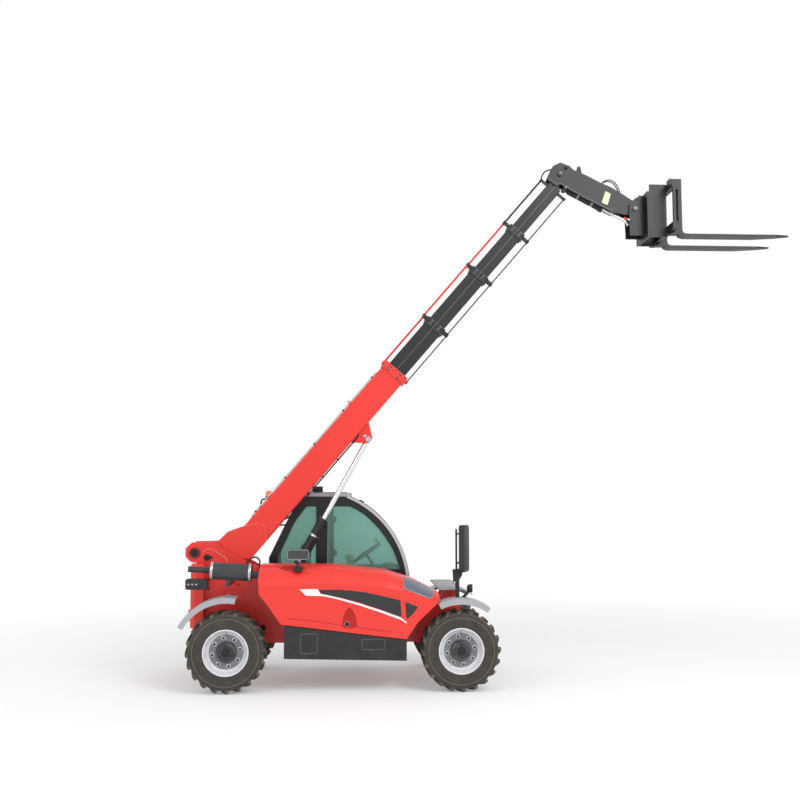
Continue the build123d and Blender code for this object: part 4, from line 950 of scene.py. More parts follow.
tailLamp = {
    "box": (-435, -208, 1042, 1151), "boxY": (675, 765), "arm": (-345, -312, 1080, 1100),
    "armY": (388, 680),
    "lensY": (684, 756), "lensX": (-434, -441), "lenses": {"Red": (1100, 1143), "Orange": (1052, 1094)},
    "studs": (-405, -365, -325), "studAt": (765, 1096), "stud": 0.010,
    "reflectorAt": (-423.5, 270, 905), "reflectorWay": (-1.0, 0.0, -0.088),
    "reflector": [(0.0, -0.001), (0.034, -0.001), (0.034, 0.004), (0.031, 0.007), (0.0, 0.007)],
}
for sideName, way in bothSides:
    low, high = (way * y for y in tailLamp["boxY"])
    newPiece("tailLampBox_" + sideName, [slab(roundedRect(*tailLamp["box"], 16), low, high, 6.0, sideWall)],
             "blackPlastic", "chassis")
    low, high = (way * y for y in tailLamp["armY"])
    newPiece("tailLampArm_" + sideName, [slab(roundedRect(*tailLamp["arm"], 4), low, high, 2.0, sideWall)],
             "blackSteel", "chassis")
    inner, outer = sorted(way * y for y in tailLamp["lensY"])
    for colour, reach in tailLamp["lenses"].items():
        lens = slab(roundedRect(inner, outer, *reach, 8), *tailLamp["lensX"], 3.0, rearWall)
        newPiece("tailLamp" + colour + "_" + sideName, [lens], colour.lower() + "Lens", "chassis")
    studY, studZ = tailLamp["studAt"]
    studs = []
    for x in tailLamp["studs"]:
        studs += hexBolt(spot(x, way * studY, studZ), (0.0, way, 0.0), tailLamp["stud"])
    newPiece("tailLampStuds_" + sideName, studs, "steel", "chassis")
    x, y, z = tailLamp["reflectorAt"]
    newPiece("reflector_" + sideName, [turned(tailLamp["reflector"], spot(x, way * y, z),
                                              tailLamp["reflectorWay"], 36)], "redLens", "chassis")
drawbar = {"at": (-475, 0, 600), "hoop": (0.020, 0.004), "hoopUp": 0.194,
           "pin": [(0.0, 0.012), (0.009, 0.016), (0.0150, 0.026), (0.0150, 0.166), (0.024, 0.168),
                   (0.024, 0.176), (0.0, 0.178)]}
drawPin = spot(*drawbar["at"])
newPiece("drawbarPin", [turned(drawbar["pin"], drawPin, upwards, 28),
                        hoop(*drawbar["hoop"], drawPin + (0.0, 0.0, drawbar["hoopUp"]), forwards, 28)],
         "steel", "chassis")
print("tower and rear dressed")

# boom: painted highlights along the welds at the root, pipes with clips, wear pad bolts and collar edges

boomTrim = {
    "rootWeld": [(392, 237), (560, 141), (712, 19), (692, -49), (600, -145)], "highlightOut": 121.0,
    "highlightRadius": 0.0048,
    "clips": 5, "clipHalf": 0.009, "clipInset": 120, "clipBolt": 0.011, "clipBoltUp": 144.5,
    "clipBoltAcross": 19, "sink": 16.0,
    "padBolt": 0.016, "padLevels": (-0.45, 0.45), "edgeRadius": 0.0026,
}
# each pipe's reach along the boom, its place up and across, its radius and its finish
pipes = {"underPipe": (900, 2150, -162, -58, 0.008, "hoseRubber"),
         "topPipe": (640, 2840, 156, -96, 0.007, "steel")}


def clampRing(radius, half, middle, way, count):
    # a flat hoop, 3 mm thick and half to each side of its middle, let 1 mm into what it holds
    return turned([(radius - 0.001, -half), (radius + 0.003, -half), (radius + 0.003, half),
                   (radius - 0.001, half)], middle, way, count, closed=True)


# pale red lines along the root's welds on both sides: painted highlights
for sideName, way in bothSides:
    root = roundedLine(boomTrim["rootWeld"], 30)
    path = boomWall(root[:, 0], root[:, 1], way * boomTrim["highlightOut"])
    newPiece("rootWeldHighlight_" + sideName, [alongPath(path, circle(boomTrim["highlightRadius"], 8), (0.0, way, 0.0))],
             "paleRedHighlight", "boom")
for name, (start, stop, up, across, radius, look) in pipes.items():
    way = np.sign(up)
    reach = np.linspace(start, stop, 24)
    sink = np.where((reach <= reach[0]) | (reach >= reach[-1]), boomTrim["sink"], 0.0) * -way
    path = smoothLine(boomWall(reach, up + sink, float(across)), 3)
    newPiece(name, [alongPath(path, circle(radius, 12), rightwards)], look, "boom")
    clips = []
    inset = boomTrim["clipInset"]
    for along in np.linspace(start + inset, stop - inset, boomTrim["clips"]):
        clips.append(clampRing(radius, boomTrim["clipHalf"], boomPoint(along, up, across), boomWay, 20))
        boltAt = boomPoint(along, way * boomTrim["clipBoltUp"], across + boomTrim["clipBoltAcross"])
        clips += hexBolt(boltAt, boomUp * way, boomTrim["clipBolt"])
    newPiece(name + "Clips", clips, "blackPaint", "boom")

# each collar's front, half height, half width and length, and how far across its upper and lower bolts stand
collars = {"boom": (2970, 157, 132, 85, 0.74), "section_2": (3672, 124, 103, 75, 0.36),
           "section_3": (4450, 114, 93, 75, 0.36), "section_4": (5115, 104, 83, 75, 0.36)}
for body, (front, up, across, length, share) in collars.items():
    places = [(along, level * up, way * across, (0.0, way, 0.0))
              for along in (front - length + 22, front - 20) for way in (-1.0, 1.0)
              for level in boomTrim["padLevels"]]
    places += [(front - length + 20, way * up, level * across, boomUp * way) for way in (-1.0, 1.0)
               for level in (-share, share)]
    bolts = []
    for along, rise, out, axis in places:
        bolts += hexBolt(boomPoint(along, rise, out), axis, boomTrim["padBolt"])
    newPiece("padBolts_" + body, bolts, "pinGrey", body)
    ring = roundedRect(-across + 0.5, across - 0.5, -up + 0.5, up - 0.5, 16)
    edge = [alongPath(boomWall(np.full(len(ring), along), ring[:, 1], ring[:, 0]),
                      circle(boomTrim["edgeRadius"], 8), boomWay, closed=True)
            for along in (front - 0.5, front - length + 0.5)]
    look, slotName = ("red", "red") if body == "boom" else ("collarGrey", "charcoal")
    newPiece("collarEdge_" + body, edge, look, body)
print("boom dressed")

# head: a painted highlight along its under edge, pin caps, a top bracket, a bare plate and a capped coupler

headTrim = {
    "under": [(3545, 5660), (3628, 5590), (3684, 5606), (3758, 5553), (3972, 5441), (4192, 5327),
              (4290, 5288)],
    "half": 78.0, "highlightRadius": 0.0040, "capBolt": 0.012,
    "bracket": [(3872, 5738), (3890, 5822), (3902, 5834), (3916, 5834), (3930, 5822), (3952, 5704)],
    "plate": [(4200, 5520), (4260, 5488), (4220, 5357), (4153, 5383)],
}
carriageTrim = {
    "pin": (4535, 5310), "pinOut": 118,
    "pinCap": [(0.0, -0.001), (0.027, -0.001), (0.024, 0.005), (0.009, 0.006), (0.006, 0.011),
               (0.0, 0.011)],
    "coupler": [(4472, 5176), (4440, 5188), (4404, 5206)], "couplerOut": -94,
    "couplerBody": [(0.0, -0.002), (0.010, -0.002), (0.010, 0.030), (0.0, 0.030)],
    "couplerCap": [(0.0, 0.0), (0.0085, 0.001), (0.0110, 0.006), (0.0110, 0.034), (0.008, 0.040),
                   (0.0, 0.041)],
    "forkPin": [(0.0, -0.002), (0.013, -0.002), (0.013, 0.022), (0.010, 0.026), (0.0, 0.026)],
    "forkPinAt": (4900, 5600), "forkPinOut": 270, "forkPinHoop": (0.012, 0.003), "forkPinHoopUp": 30,
}
boomY = boomPivot[1] * 1000


def roundCap(radius):
    # a low cap with a small knob in its middle
    return [(0.0, -0.001), (radius, -0.001), (radius, 0.006), (radius - 0.004, 0.009), (0.008, 0.009),
            (0.006, 0.014), (0.0, 0.014)]


for sideName, way in bothSides:
    y = boomY + way * headTrim["half"]
    axis = (0.0, way, 0.0)
    # a grey line along the head's under edge: painted edge highlight
    line = roundedLine(headTrim["under"], 24)
    newPiece("headEdgeHighlight_" + sideName, [alongPath(sideWall(line[:, 0], line[:, 1], y),
                                                circle(headTrim["highlightRadius"], 8, 0.6), axis)],
             "collarGrey", "section_5")
    caps = [turned(roundCap(0.026), spot(3671, y + way * 16, 5719), axis, 32),
            turned(roundCap(0.022), spot(3735, y, 5560), axis, 32)]
    caps += hexBolt(spot(3735, y, 5560) + (0.033, 0.0, 0.0), axis, headTrim["capBolt"])
    newPiece("headPinCaps_" + sideName, caps, "pinGrey", "section_5")
    tie = spot(carriageTrim["pin"][0], boomY + way * carriageTrim["pinOut"], carriageTrim["pin"][1])
    newPiece("carriagePinCap_" + sideName, [turned(carriageTrim["pinCap"], tie, axis, 32)], "pinGrey",
             "carriage")
newPiece("headBracket", [slab(headTrim["bracket"], boomY - 6, boomY + 6, 2.0, sideWall)], "charcoal",
         "section_5")
newPiece("headPlate", [slab(roundedLine(headTrim["plate"], 7, 4, closed=True), boomY - headTrim["half"] + 1,
                            boomY - headTrim["half"] - 1.6, 0.8, sideWall)], "paleYellow", "section_5")
coupler = [spot(x, boomY + carriageTrim["couplerOut"], z) for x, z in carriageTrim["coupler"]]
couplerWay = unit(coupler[2] - coupler[0])
newPiece("couplerBody", [turned(carriageTrim["couplerBody"], coupler[0], couplerWay, 20)], "steel",
         "carriage")
newPiece("couplerCap", [turned(carriageTrim["couplerCap"], coupler[1], couplerWay, 24)], "redPlastic",
         "carriage")
forkPins = []
pinX, pinZ = carriageTrim["forkPinAt"]
for way in (-1, 1):
    y = boomY + way * carriageTrim["forkPinOut"]
    forkPins.append(turned(carriageTrim["forkPin"], spot(pinX, y, pinZ), upwards, 24))
    forkPins.append(hoop(*carriageTrim["forkPinHoop"], spot(pinX, y, pinZ + carriageTrim["forkPinHoopUp"]),
                         leftwards, 24))
newPiece("forkPins", forkPins, "steel", "carriage")
print("head and carriage dressed")

# lift and tilt cylinders: bands, an oil pipe, gland bolts and a seal

cylinders = {
    "lift_barrel": {"joint": "lift_swing", "stroke": "lift_stroke", "radius": 0.055, "length": 1.330,
                    "gland": 0.061,
                    "rod": 0.030, "bands": (0.40, 0.80, 1.12), "pipe": (0.16, 1.22), "pipeRadius": 0.0075},
    "tilt_barrel": {"joint": "tilt_swing", "stroke": "tilt_stroke", "radius": 0.040, "length": 0.500,
                    "gland": 0.046,
                    "rod": 0.018, "bands": (0.18, 0.36), "pipe": (0.09, 0.42), "pipeRadius": 0.005},
}
for body, facts in cylinders.items():
    base = np.array(joints[facts["joint"]]["pos_m"], float)
    way = unit(joints[facts["stroke"]]["axis"])
    above = np.array([-way[2], 0.0, way[0]])
    radius, rod = facts["radius"], facts["rod"]
    newPiece("bands_" + body, [clampRing(radius, 0.011, base + way * along, way, 48)
                               for along in facts["bands"]], "steel", body)
    end = base + way * facts["length"]
    seal = [(rod + 0.0008, -0.001), (rod + 0.010, -0.001), (rod + 0.008, 0.004), (rod + 0.0008, 0.005)]
    newPiece("rodSeal_" + body, [turned(seal, end, way, 40, closed=True)], "hoseRubber", body)
    glandBolts = []
    for turn in np.arange(6) * np.pi / 3:
        spoke = np.array([0.0, math.cos(turn), 0.0]) + above * math.sin(turn)
        glandBolts += hexBolt(end + spoke * (rod + facts["gland"] + 0.010) / 2, way, facts["gland"] * 0.14,
                              washer=False)
    newPiece("glandBolts_" + body, glandBolts, "steel", body)
    # the pipe leaves the barrel low on its right, runs along it and goes back in
    lean = -0.85 * np.array([0.0, 1.0, 0.0]) - 0.53 * above
    start, stop = facts["pipe"]
    route = [base + way * along + lean * (radius + out) for along,
             out in ((start, -0.006), (start, 0.016), (start + 0.05, 0.017), (stop - 0.05, 0.017),
                     (stop, 0.016), (stop, -0.006))]
    newPiece("oilPipe_" + body, [alongPath(roundedLine(route, 0.02, 6), circle(facts["pipeRadius"], 12),
                                           np.cross(lean, way))], "blackPaint", body)
liftPin = {"along": 2.171, "up": -0.620, "out": 0.052, "keeper": 0.052}
liftEye = boomPivot + boomWay * liftPin["along"] + boomUp * liftPin["up"]
for sideName, way in bothSides:
    centre = liftEye + (0.0, way * liftPin["out"], 0.0)
    keeper = hexBolt(centre + boomUp * liftPin["keeper"], (0.0, way, 0.0), towerTrim["keeperBolt"])
    newPiece("liftPinCap_" + sideName, [turned(pinCap, centre, (0.0, way, 0.0), 32)] + keeper, "steel",
             "boom")
print("cylinders dressed")

# tyres: a carcass turned round the axle, and slanted lugs that alternate from side to side

tyreShape = {"radius": 0.415, "halfWidth": 0.1525, "lugDepth": 0.030, "lugs": 20, "lugWidth": 0.040,
             "slant": 0.062, "turns": 72, "bore": [(0.2165, 0.0), (0.2165, 0.09), (0.2170, 0.1140),
                                                   (0.2285, 0.1230)],
             "wall": [(0.2363, 0.90), (0.246, 0.955), (0.262, 0.962), (0.290, 0.985), (0.325, 1.0),
                      (0.352, 0.995), (0.370, 0.965)]}


def lugShape(angle, side):
    # a tapering, slanted bar from the shoulder almost to the tyre's middle, its foot wider than its top
    half = tyreShape["halfWidth"]
    along = np.linspace(0.0, 1.0, 6)
    y = side * (half * 0.97 + (0.006 - half * 0.97) * along)
    lead = tyreShape["slant"] * (along - 0.5) * side
    outer = tyreShape["radius"] - 0.0005 - np.where(along < 0.15, 0.012, 0.0)
    rings = []
    for share, width in ((1.0, 0.5), (0.35, 0.42), (0.0, 0.36)):
        depth = outer - tyreShape["lugDepth"] * 1.25 * share
        for way in (-1.0, 1.0):
            turn = angle + (lead + way * width * tyreShape["lugWidth"]) / tyreShape["radius"]
            rings.append(np.stack([depth * np.cos(turn), y, depth * np.sin(turn)], axis=1))
    order = [0, 2, 4, 5, 3, 1]
    return gridShape(np.stack([rings[k] for k in order], axis=1), roundColumns=True, capStart=True,
                     capEnd=True)


def tyrePiece(corner):
    # rows of radius and distance from the middle: along the bore, up the wall, over the crown, and mirrored
    centre = wheelMiddle[corner]
    half, crown = tyreShape["halfWidth"], tyreShape["radius"] - tyreShape["lugDepth"]
    wall = [(radius, half * share) for radius, share in tyreShape["wall"]]
    halfProfile = tyreShape["bore"] + wall + [(crown - 0.004, half * 0.90), (crown, half * 0.78),
                                              (crown + 0.002, half * 0.4)]
    profile = halfProfile + [(crown + 0.002, 0.0)] + [(r, -y) for r, y in halfProfile[:0:-1]]
    shapes = [turned(profile, centre, leftwards, tyreShape["turns"], closed=True)]
    for side in (-1.0, 1.0):
        for number in range(tyreShape["lugs"]):
            angle = 2 * math.pi / tyreShape["lugs"] * (number + (0.5 if side > 0 else 0.0)) - math.pi / 2
            points, faces = lugShape(angle, side)
            shapes.append((points + centre, faces))
    piece = newPiece("tyre_" + corner + "_lugged", shapes, "tyre_" + corner, "wheel_" + corner,
                     crease=30.0)
    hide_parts("tyre_" + corner)


for corner in wheelMiddle:
    tyrePiece(corner)
print("tyres made")

# windows: a bowed windscreen and flat panes, in place of the plain panes

screenCurve = {"centre": (827, 980), "radius": 1107, "from": 1130, "to": 2000, "y": (94, 876), "thick": 6}
screenX, screenZ = screenCurve["centre"]


def screenArc(radius, zFrom, zTo, count=28):
    # equal turns between two heights on a circle about the windscreen's centre
    turn = np.linspace(math.asin((zFrom - screenZ) / radius), math.asin((zTo - screenZ) / radius), count)
    return screenX + radius * np.cos(turn), screenZ + radius * np.sin(turn)


def screenPath(radius, zFrom, zTo, y, count=40):
    # the same arc as places, at one y or at one for each
    return sideWall(*screenArc(radius, zFrom, zTo, count), y)


def flatBar(halfWide, halfThick):
    # the four corners of a flat section
    return np.array([(-halfWide, -halfThick), (halfWide, -halfThick), (halfWide, halfThick),
                     (-halfWide, halfThick)])


windows = {
    "front": [(1075, 1180), (1850, 1180), (1775, 1400), (1630, 1620), (1462, 1790), (1270, 1898),
              (1010, 1898),
              (1010, 1180)],
    "quarter": [(450, 1180), (450, 1330), (620, 1700), (770, 1898), (890, 1898), (890, 1180)],
    "rear": [(370, 1302), (560, 1712), (712, 1990)], "rearY": 485.0, "rearHalf": 0.35,
    "door": [(1075, 1190), (1845, 1190), (1755, 1400), (1612, 1600), (1450, 1768), (1275, 1885),
             (1075, 1885)],
    "panes": (("front", 116), ("quarter", 116), ("quarter", 860)), "thick": 6,
    "seals": (("front", 108.0), ("quarter", 108.0), ("quarter", 862.0)), "seal": 0.006, "sealCut": 26,
}
lowY, highY = screenCurve["y"]
bow = screenPath(screenCurve["radius"], screenCurve["from"], screenCurve["to"], (lowY + highY) / 2.0, 28)
panes = [alongPath(bow, flatBar((highY - lowY) / 2000, screenCurve["thick"] / 2000), (1.0, 0.0, 0.4))]
for name, y in windows["panes"]:
    panes.append(slab(windows[name], y, y - windows["thick"], 0.5, sideWall))
rearPane = np.array(windows["rear"], float)
panes.append(alongPath(sideWall(rearPane[:, 0], rearPane[:, 1], windows["rearY"]),
                       flatBar(windows["rearHalf"], 0.004), (-1.0, 0.0, 0.4)))
glassPiece = newPiece("cabWindows", panes, "cabGlass", "chassis")
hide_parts("cab_glass")

# each strip's name, distance from the bar's arc, shift of its ends, step inwards, thickness and finish
cabTrim = {
    "radius": 1099, "from": 1092, "to": 2002, "y": {"right": 87.0, "left": 883.0}, "bar": (15.5, 7.0, 4),
    "strips": [("screenSeal_", -22, 30, -8, 4.0, 0.008, "hoseRubber"),
               ("screenEdge_", 17, 8, 2, 3.0, 0.0045, "blackPlastic")],
}
halfWide, halfThick, corner = cabTrim["bar"]
barProfile = roundedRect(-halfWide, halfWide, -halfThick, halfThick, corner) / 1000
for sideName, way in bothSides:
    y = cabTrim["y"][sideName]
    bar = screenPath(cabTrim["radius"], cabTrim["from"], cabTrim["to"], y)
    newPiece("screenTrim_" + sideName, [alongPath(bar, barProfile, leftwards)], "trimSilver", "chassis")
    for name, out, low, high, inwards, thick, look in cabTrim["strips"]:
        path = screenPath(cabTrim["radius"] + out, cabTrim["from"] + low, cabTrim["to"] + high,
                          y - way * inwards)
        newPiece(name + sideName, [alongPath(path, circle(thick, 8), leftwards)], look, "chassis")


def paneSeal(outline, y):
    # a thin cord of rubber along a window's outline
    line = denseOutline(outline, windows["sealCut"])
    return alongPath(sideWall(line[:, 0], line[:, 1], y), circle(windows["seal"], 8), leftwards,
                     closed=True)


newPiece("windowSeals", [paneSeal(windows[name], y) for name, y in windows["seals"]], "hoseRubber",
         "chassis")
print("cab glazed")

# cab roof with its lamp, the beacon on its arm, the wiper and the door's catches and seal

cabTop = {"z": 2045.0, "panel": (730, 1230, 150, 820), "panelCorner": 40, "workLampX": (832, 950),
          "workLamp": (250, 350, 2053, 2119), "workLampFoot": (290, 310, 2043, 2059), "footX": (880, 900),
          "workLampLens": (259, 341, 2061, 2111)}
newPiece("roofPanel", [slab(roundedRect(*cabTop["panel"], cabTop["panelCorner"]), cabTop["z"] - 2,
                            cabTop["z"] + 7, 4.0, spot)], "blackPaint", "chassis")
lampBack, lampFront = cabTop["workLampX"]
newPiece("workLampBody", [slab(roundedRect(*cabTop["workLamp"], 16), lampBack, lampFront, 5.0, rearWall),
                          slab(roundedRect(*cabTop["workLampFoot"], 4), *cabTop["footX"], 1.0, rearWall)],
         "blackPlastic", "chassis")
newPiece("workLampLens", [slab(roundedRect(*cabTop["workLampLens"], 12), lampFront - 1, lampFront + 6, 3.0,
                               rearWall)], "clearLens", "chassis")

beacon = {
    "at": (348, 112, 2006.0), "radius": 0.040, "height": 0.066, "straight": 0.55,
    "hoops": (0.010, 0.020, 0.030),
    "hoopThick": 0.0016, "base": [(0.0, -0.022), (0.030, -0.022), (0.042, -0.012), (0.042, 0.002),
                                  (0.0, 0.002)],
    "arm": [(348, 1990), (300, 1975), (262, 1950), (246, 1800), (240, 1690), (300, 1680), (545, 1682)],
    "armRadius": 0.009,
}
base = spot(*beacon["at"])
radius, height, straight = beacon["radius"], beacon["height"], beacon["straight"]
# a straight wall with a quarter of an ellipse on top
dome = [(0.0, 0.0), (radius, 0.0), (radius, height * straight)]
dome += [(radius * math.cos(turn), height * straight + height * (1 - straight) * math.sin(turn))
         for turn in np.linspace(0.0, math.pi / 2, 9)[1:]]
lens = [turned(dome, base, upwards, 40)]
lens += [hoop(radius, beacon["hoopThick"], base + (0.0, 0.0, level), upwards, 40)
         for level in beacon["hoops"]]
newPiece("beaconLens", lens, "orangeLens", "chassis")
newPiece("beaconBase", [turned(beacon["base"], base, upwards, 36)], "blackPlastic", "chassis")
newPiece("beaconArm", [wire([spot(x, beacon["at"][1], z) for x, z in beacon["arm"]], beacon["armRadius"],
                            up=leftwards)], "blackPaint", "chassis")

wiper = {
    "arm": (1121, 1560, 1915), "armY": (520.0, 458.0), "armRadius": 0.005,
    "blade": (1115, 1330, 1800), "bladeY": 528.0, "bladeRadius": 0.006, "hubArc": (1112, 1905, 1960),
    "hubY": 455.0,
    "hub": [(0.0, -0.010), (0.034, -0.010), (0.034, 0.008), (0.026, 0.020), (0.010, 0.024), (0.0, 0.024)],
}
armPath = screenPath(*wiper["arm"], np.linspace(*wiper["armY"], 20), 20)
newPiece("wiperArm", [alongPath(armPath, circle(wiper["armRadius"], 10, 0.6), leftwards)], "blackPaint",
         "chassis")
newPiece("wiperBlade", [alongPath(screenPath(*wiper["blade"], wiper["bladeY"], 24),
                                  circle(wiper["bladeRadius"], 8, 0.7), leftwards)], "hoseRubber",
         "chassis")
hubX, hubZ = (row[1] for row in screenArc(*wiper["hubArc"], 3))
newPiece("wiperHub", [turned(wiper["hub"], sideWall(hubX, hubZ, wiper["hubY"]),
                             (hubX - screenX, 0.0, hubZ - screenZ), 28)], "blackPlastic", "chassis")
doorTrim = {"catches": (1336, 1722), "catchX": (1062, 1112), "catchHalf": 34, "catchY": (838, 858),
            "sealY": 862.0}
catches = [slab(roundedRect(*doorTrim["catchX"], z - doorTrim["catchHalf"], z + doorTrim["catchHalf"], 12),
                *doorTrim["catchY"], 4.0, sideWall) for z in doorTrim["catches"]]
newPiece("doorCatches", catches, "blackPlastic", "door")
newPiece("doorSeal", [paneSeal(windows["door"], doorTrim["sealY"])], "hoseRubber", "door")
print("cab roof and door dressed")

# controls: a lever console by the seat, the wheel's grip, knob and boss, and an instrument binnacle

leverTrim = {
    "console": [(980, 640), (1330, 640), (1340, 900), (1180, 960), (980, 940)], "consoleY": (150, 236),
    "stem": [(1230, 193, 950), (1236, 193, 1100), (1252, 193, 1262)], "stemRadius": 0.009,
    "boot": [(0.0, -0.01), (0.040, -0.01), (0.036, 0.010), (0.026, 0.022), (0.024, 0.034), (0.014, 0.048),
             (0.0, 0.048)], "bootAt": (1230, 193, 952), "bootWay": (0.1, 0.0, 1.0),
    "grip": [(0.0, -0.03), (0.016, -0.028), (0.030, 0.0), (0.046, 0.030), (0.050, 0.055), (0.040, 0.078),
             (0.016, 0.088), (0.0, 0.089)], "gripAt": (1253, 193, 1262), "gripWay": (0.2, 0.0, 1.0),
}
newPiece("console", [slab(roundedLine(leverTrim["console"], 22, 5, closed=True), *leverTrim["consoleY"],
                          8.0, sideWall)], "blackPlastic", "chassis")
newPiece("leverStem", [wire([spot(*place) for place in leverTrim["stem"]], leverTrim["stemRadius"],
                            up=leftwards), turned(leverTrim["boot"], spot(*leverTrim["bootAt"]),
                                                  leverTrim["bootWay"], 24)], "hoseRubber", "chassis")
newPiece("leverGrip", [turned(leverTrim["grip"], spot(*leverTrim["gripAt"]), leverTrim["gripWay"], 28)],
         "yellowGrip", "chassis")

steering = {
    "at": (1450, 485, 1340), "tilt": 34, "radius": 0.185, "grip": 0.0158,
    "knob": [(0.0, 0.012), (0.012, 0.012), (0.012, 0.036), (0.022, 0.044), (0.026, 0.062), (0.018, 0.078),
             (0.0, 0.082)],
    "boss": [(0.0, 0.010), (0.046, 0.010), (0.044, 0.022), (0.034, 0.028), (0.0, 0.030)],
    "binnacle": [(1640, 1176), (1850, 1116), (1846, 1150), (1790, 1210), (1700, 1236), (1650, 1222)],
    "binnacleY": (300, 670),
}
tilt = math.radians(steering["tilt"])
wheelAxis = np.array([-math.sin(tilt), 0.0, math.cos(tilt)])
wheelAt = spot(*steering["at"])
knobAt = wheelAt + steering["radius"] * np.array([math.cos(tilt), 0.0, math.sin(tilt)])
grip = turned(circle(steering["grip"], 12) + (steering["radius"], 0.0), wheelAt, wheelAxis, 72, closed=True)
for name, shape, look in (("wheelGrip", grip, "hoseRubber"),
                          ("wheelKnob", turned(steering["knob"], knobAt, wheelAxis, 24), "yellowGrip"),
                          ("wheelBoss", turned(steering["boss"], wheelAt, wheelAxis, 32), "blackPlastic"),
                          ("binnacle", slab(roundedLine(steering["binnacle"], 14, 5, closed=True),
                                            *steering["binnacleY"], 10.0, sideWall), "blackPlastic")):
    newPiece(name, [shape], look, "chassis")
print("controls made")

# front: headlamps on the fenders, the mirror on its post, the nose deck, and the hoses over the head

headlamp = {
    "at": (2515, 700, 1039), "lensOut": 0.040, "ring": (0.0405, 0.0026),
    "body": [(0.0, -0.016), (0.020, -0.014), (0.036, -0.004), (0.043, 0.012), (0.043, 0.040), (0.0, 0.040)],
    "lens": [(0.0, -0.002), (0.038, -0.002), (0.038, 0.002), (0.028, 0.006), (0.014, 0.009), (0.0, 0.010)],
    "leg": [(2432, 940), (2478, 936), (2520, 990), (2526, 1030), (2512, 1034), (2496, 1000)], "legHalf": 6,
}
for sideName, way in bothSides:
    x, y, z = headlamp["at"]
    y = way * y
    back = spot(x, y, z)
    front = back + (headlamp["lensOut"], 0.0, 0.0)
    newPiece("headlampBody_" + sideName, [turned(headlamp["body"], back, forwards, 40)], "blackPlastic",
             "chassis")
    newPiece("headlampLens_" + sideName, [turned(headlamp["lens"], front, forwards, 40)], "clearLens",
             "chassis")
    newPiece("headlampRing_" + sideName, [hoop(*headlamp["ring"], front, forwards, 48)], "trimSilver",
             "chassis")
    leg = slab(roundedLine(headlamp["leg"], 5, 4, closed=True), y - headlamp["legHalf"],
               y + headlamp["legHalf"], 1.5, sideWall)
    newPiece("headlampLeg_" + sideName, [leg], "blackSteel", "chassis")

frontMirror = {
    "postX": 2390, "postY": -700, "post": (936, 1180, 1420, 1660), "postRadius": 0.010, "armRadius": 0.008,
    "arms": [[(2390, 1290), (2430, 1322), (2466, 1340)], [(2390, 1610), (2430, 1606), (2466, 1600)]],
    "bracket": [(2349, 1236), (2412, 1246), (2452, 1226), (2452, 1180), (2420, 1130), (2420, 946),
                (2378, 946),
                (2378, 1120), (2353, 1160)], "bracketHalf": 14, "bolts": [(2384, 1208), (2400, 985)],
                "bolt": 0.018,
    "head": (2472, -700, 1455.5), "headHalf": (32, 100, 246.5), "headCorner": 40, "turn": -24.0, "inset": 8,
}
postY, armRadius = frontMirror["postY"], frontMirror["armRadius"]
post = [wire([spot(frontMirror["postX"], postY, z) for z in frontMirror["post"]], frontMirror["postRadius"],
             up=leftwards)]
post += [wire([spot(x, postY, z) for x, z in arm], armRadius, up=leftwards) for arm in frontMirror["arms"]]
newPiece("mirrorPost", post, "blackPaint", "chassis")
outer, inner = postY - frontMirror["bracketHalf"], postY + frontMirror["bracketHalf"]
bracket = [slab(roundedLine(frontMirror["bracket"], 9, 4, closed=True), inner, outer, 4.0, sideWall)]
for x, z in frontMirror["bolts"]:
    bracket += hexBolt(spot(x, outer, z), rightwards, frontMirror["bolt"])
newPiece("mirrorBracket", bracket, "blackPlastic", "chassis")
headTurn = math.radians(frontMirror["turn"])
aheadWay = np.array([math.cos(headTurn), math.sin(headTurn), 0.0])
acrossWay = np.array([-math.sin(headTurn), math.cos(headTurn), 0.0])
headMiddle = spot(*frontMirror["head"])


def mirrorWall(across, up, out):
    # the mirror head's own frame: across its face, upwards, and out of its front
    across, up, out = np.broadcast_arrays(across / 1000, up / 1000, out / 1000)
    place = headMiddle + across[..., None] * acrossWay + out[..., None] * aheadWay
    return place + up[..., None] * np.array(upwards)


depth, wide, high = frontMirror["headHalf"]
face, corner, inset = (-wide, wide, -high, high), frontMirror["headCorner"], frontMirror["inset"]
newPiece("mirrorHead", [slab(roundedRect(*face, corner, 7), -depth + 6, depth, 16.0, mirrorWall)],
         "blackPlastic", "chassis")
glass = roundedRect(-wide + inset, wide - inset, -high + inset, high - inset, corner - inset, 7)
newPiece("mirrorHeadGlass", [slab(glass, -depth + 8, -depth + 3, 1.5, mirrorWall)], "mirrorGlass",
         "chassis")

noseDeck = {"outline": (2214, 2462, -600, 600), "corner": 26, "z": (1013, 1025)}
newPiece("noseDeck", [slab(roundedRect(*noseDeck["outline"], noseDeck["corner"], 5), *noseDeck["z"], 5.0,
                           spot)], "softGrey", "chassis")

hoses = {
    "head": [(4160, 5610), (4190, 5645), (4250, 5668), (4320, 5640), (4370, 5560), (4386, 5494)],
    "headAcross": (-30, 24), "headRadius": 0.0065,
    "tube": [(5760, 172), (5800, 196), (5860, 206), (5910, 184), (5945, 158)], "tubeAcross": -18.0,
    "tubeRadius": 0.008,
}
newPiece("headHoses", [wire([spot(x, boomY + across, z) for x, z in hoses["head"]], hoses["headRadius"],
                            up=leftwards) for across in hoses["headAcross"]], "hoseRubber", "section_5")
newPiece("tubeHose", [wire([boomPoint(along, up, hoses["tubeAcross"]) for along, up in hoses["tube"]],
                           hoses["tubeRadius"], up=leftwards)], "hoseRubber", "section_5")
print("lamps, mirror, deck and hoses made")

# seat: cushion and backrest, inflated by cloth pressure and then sewn

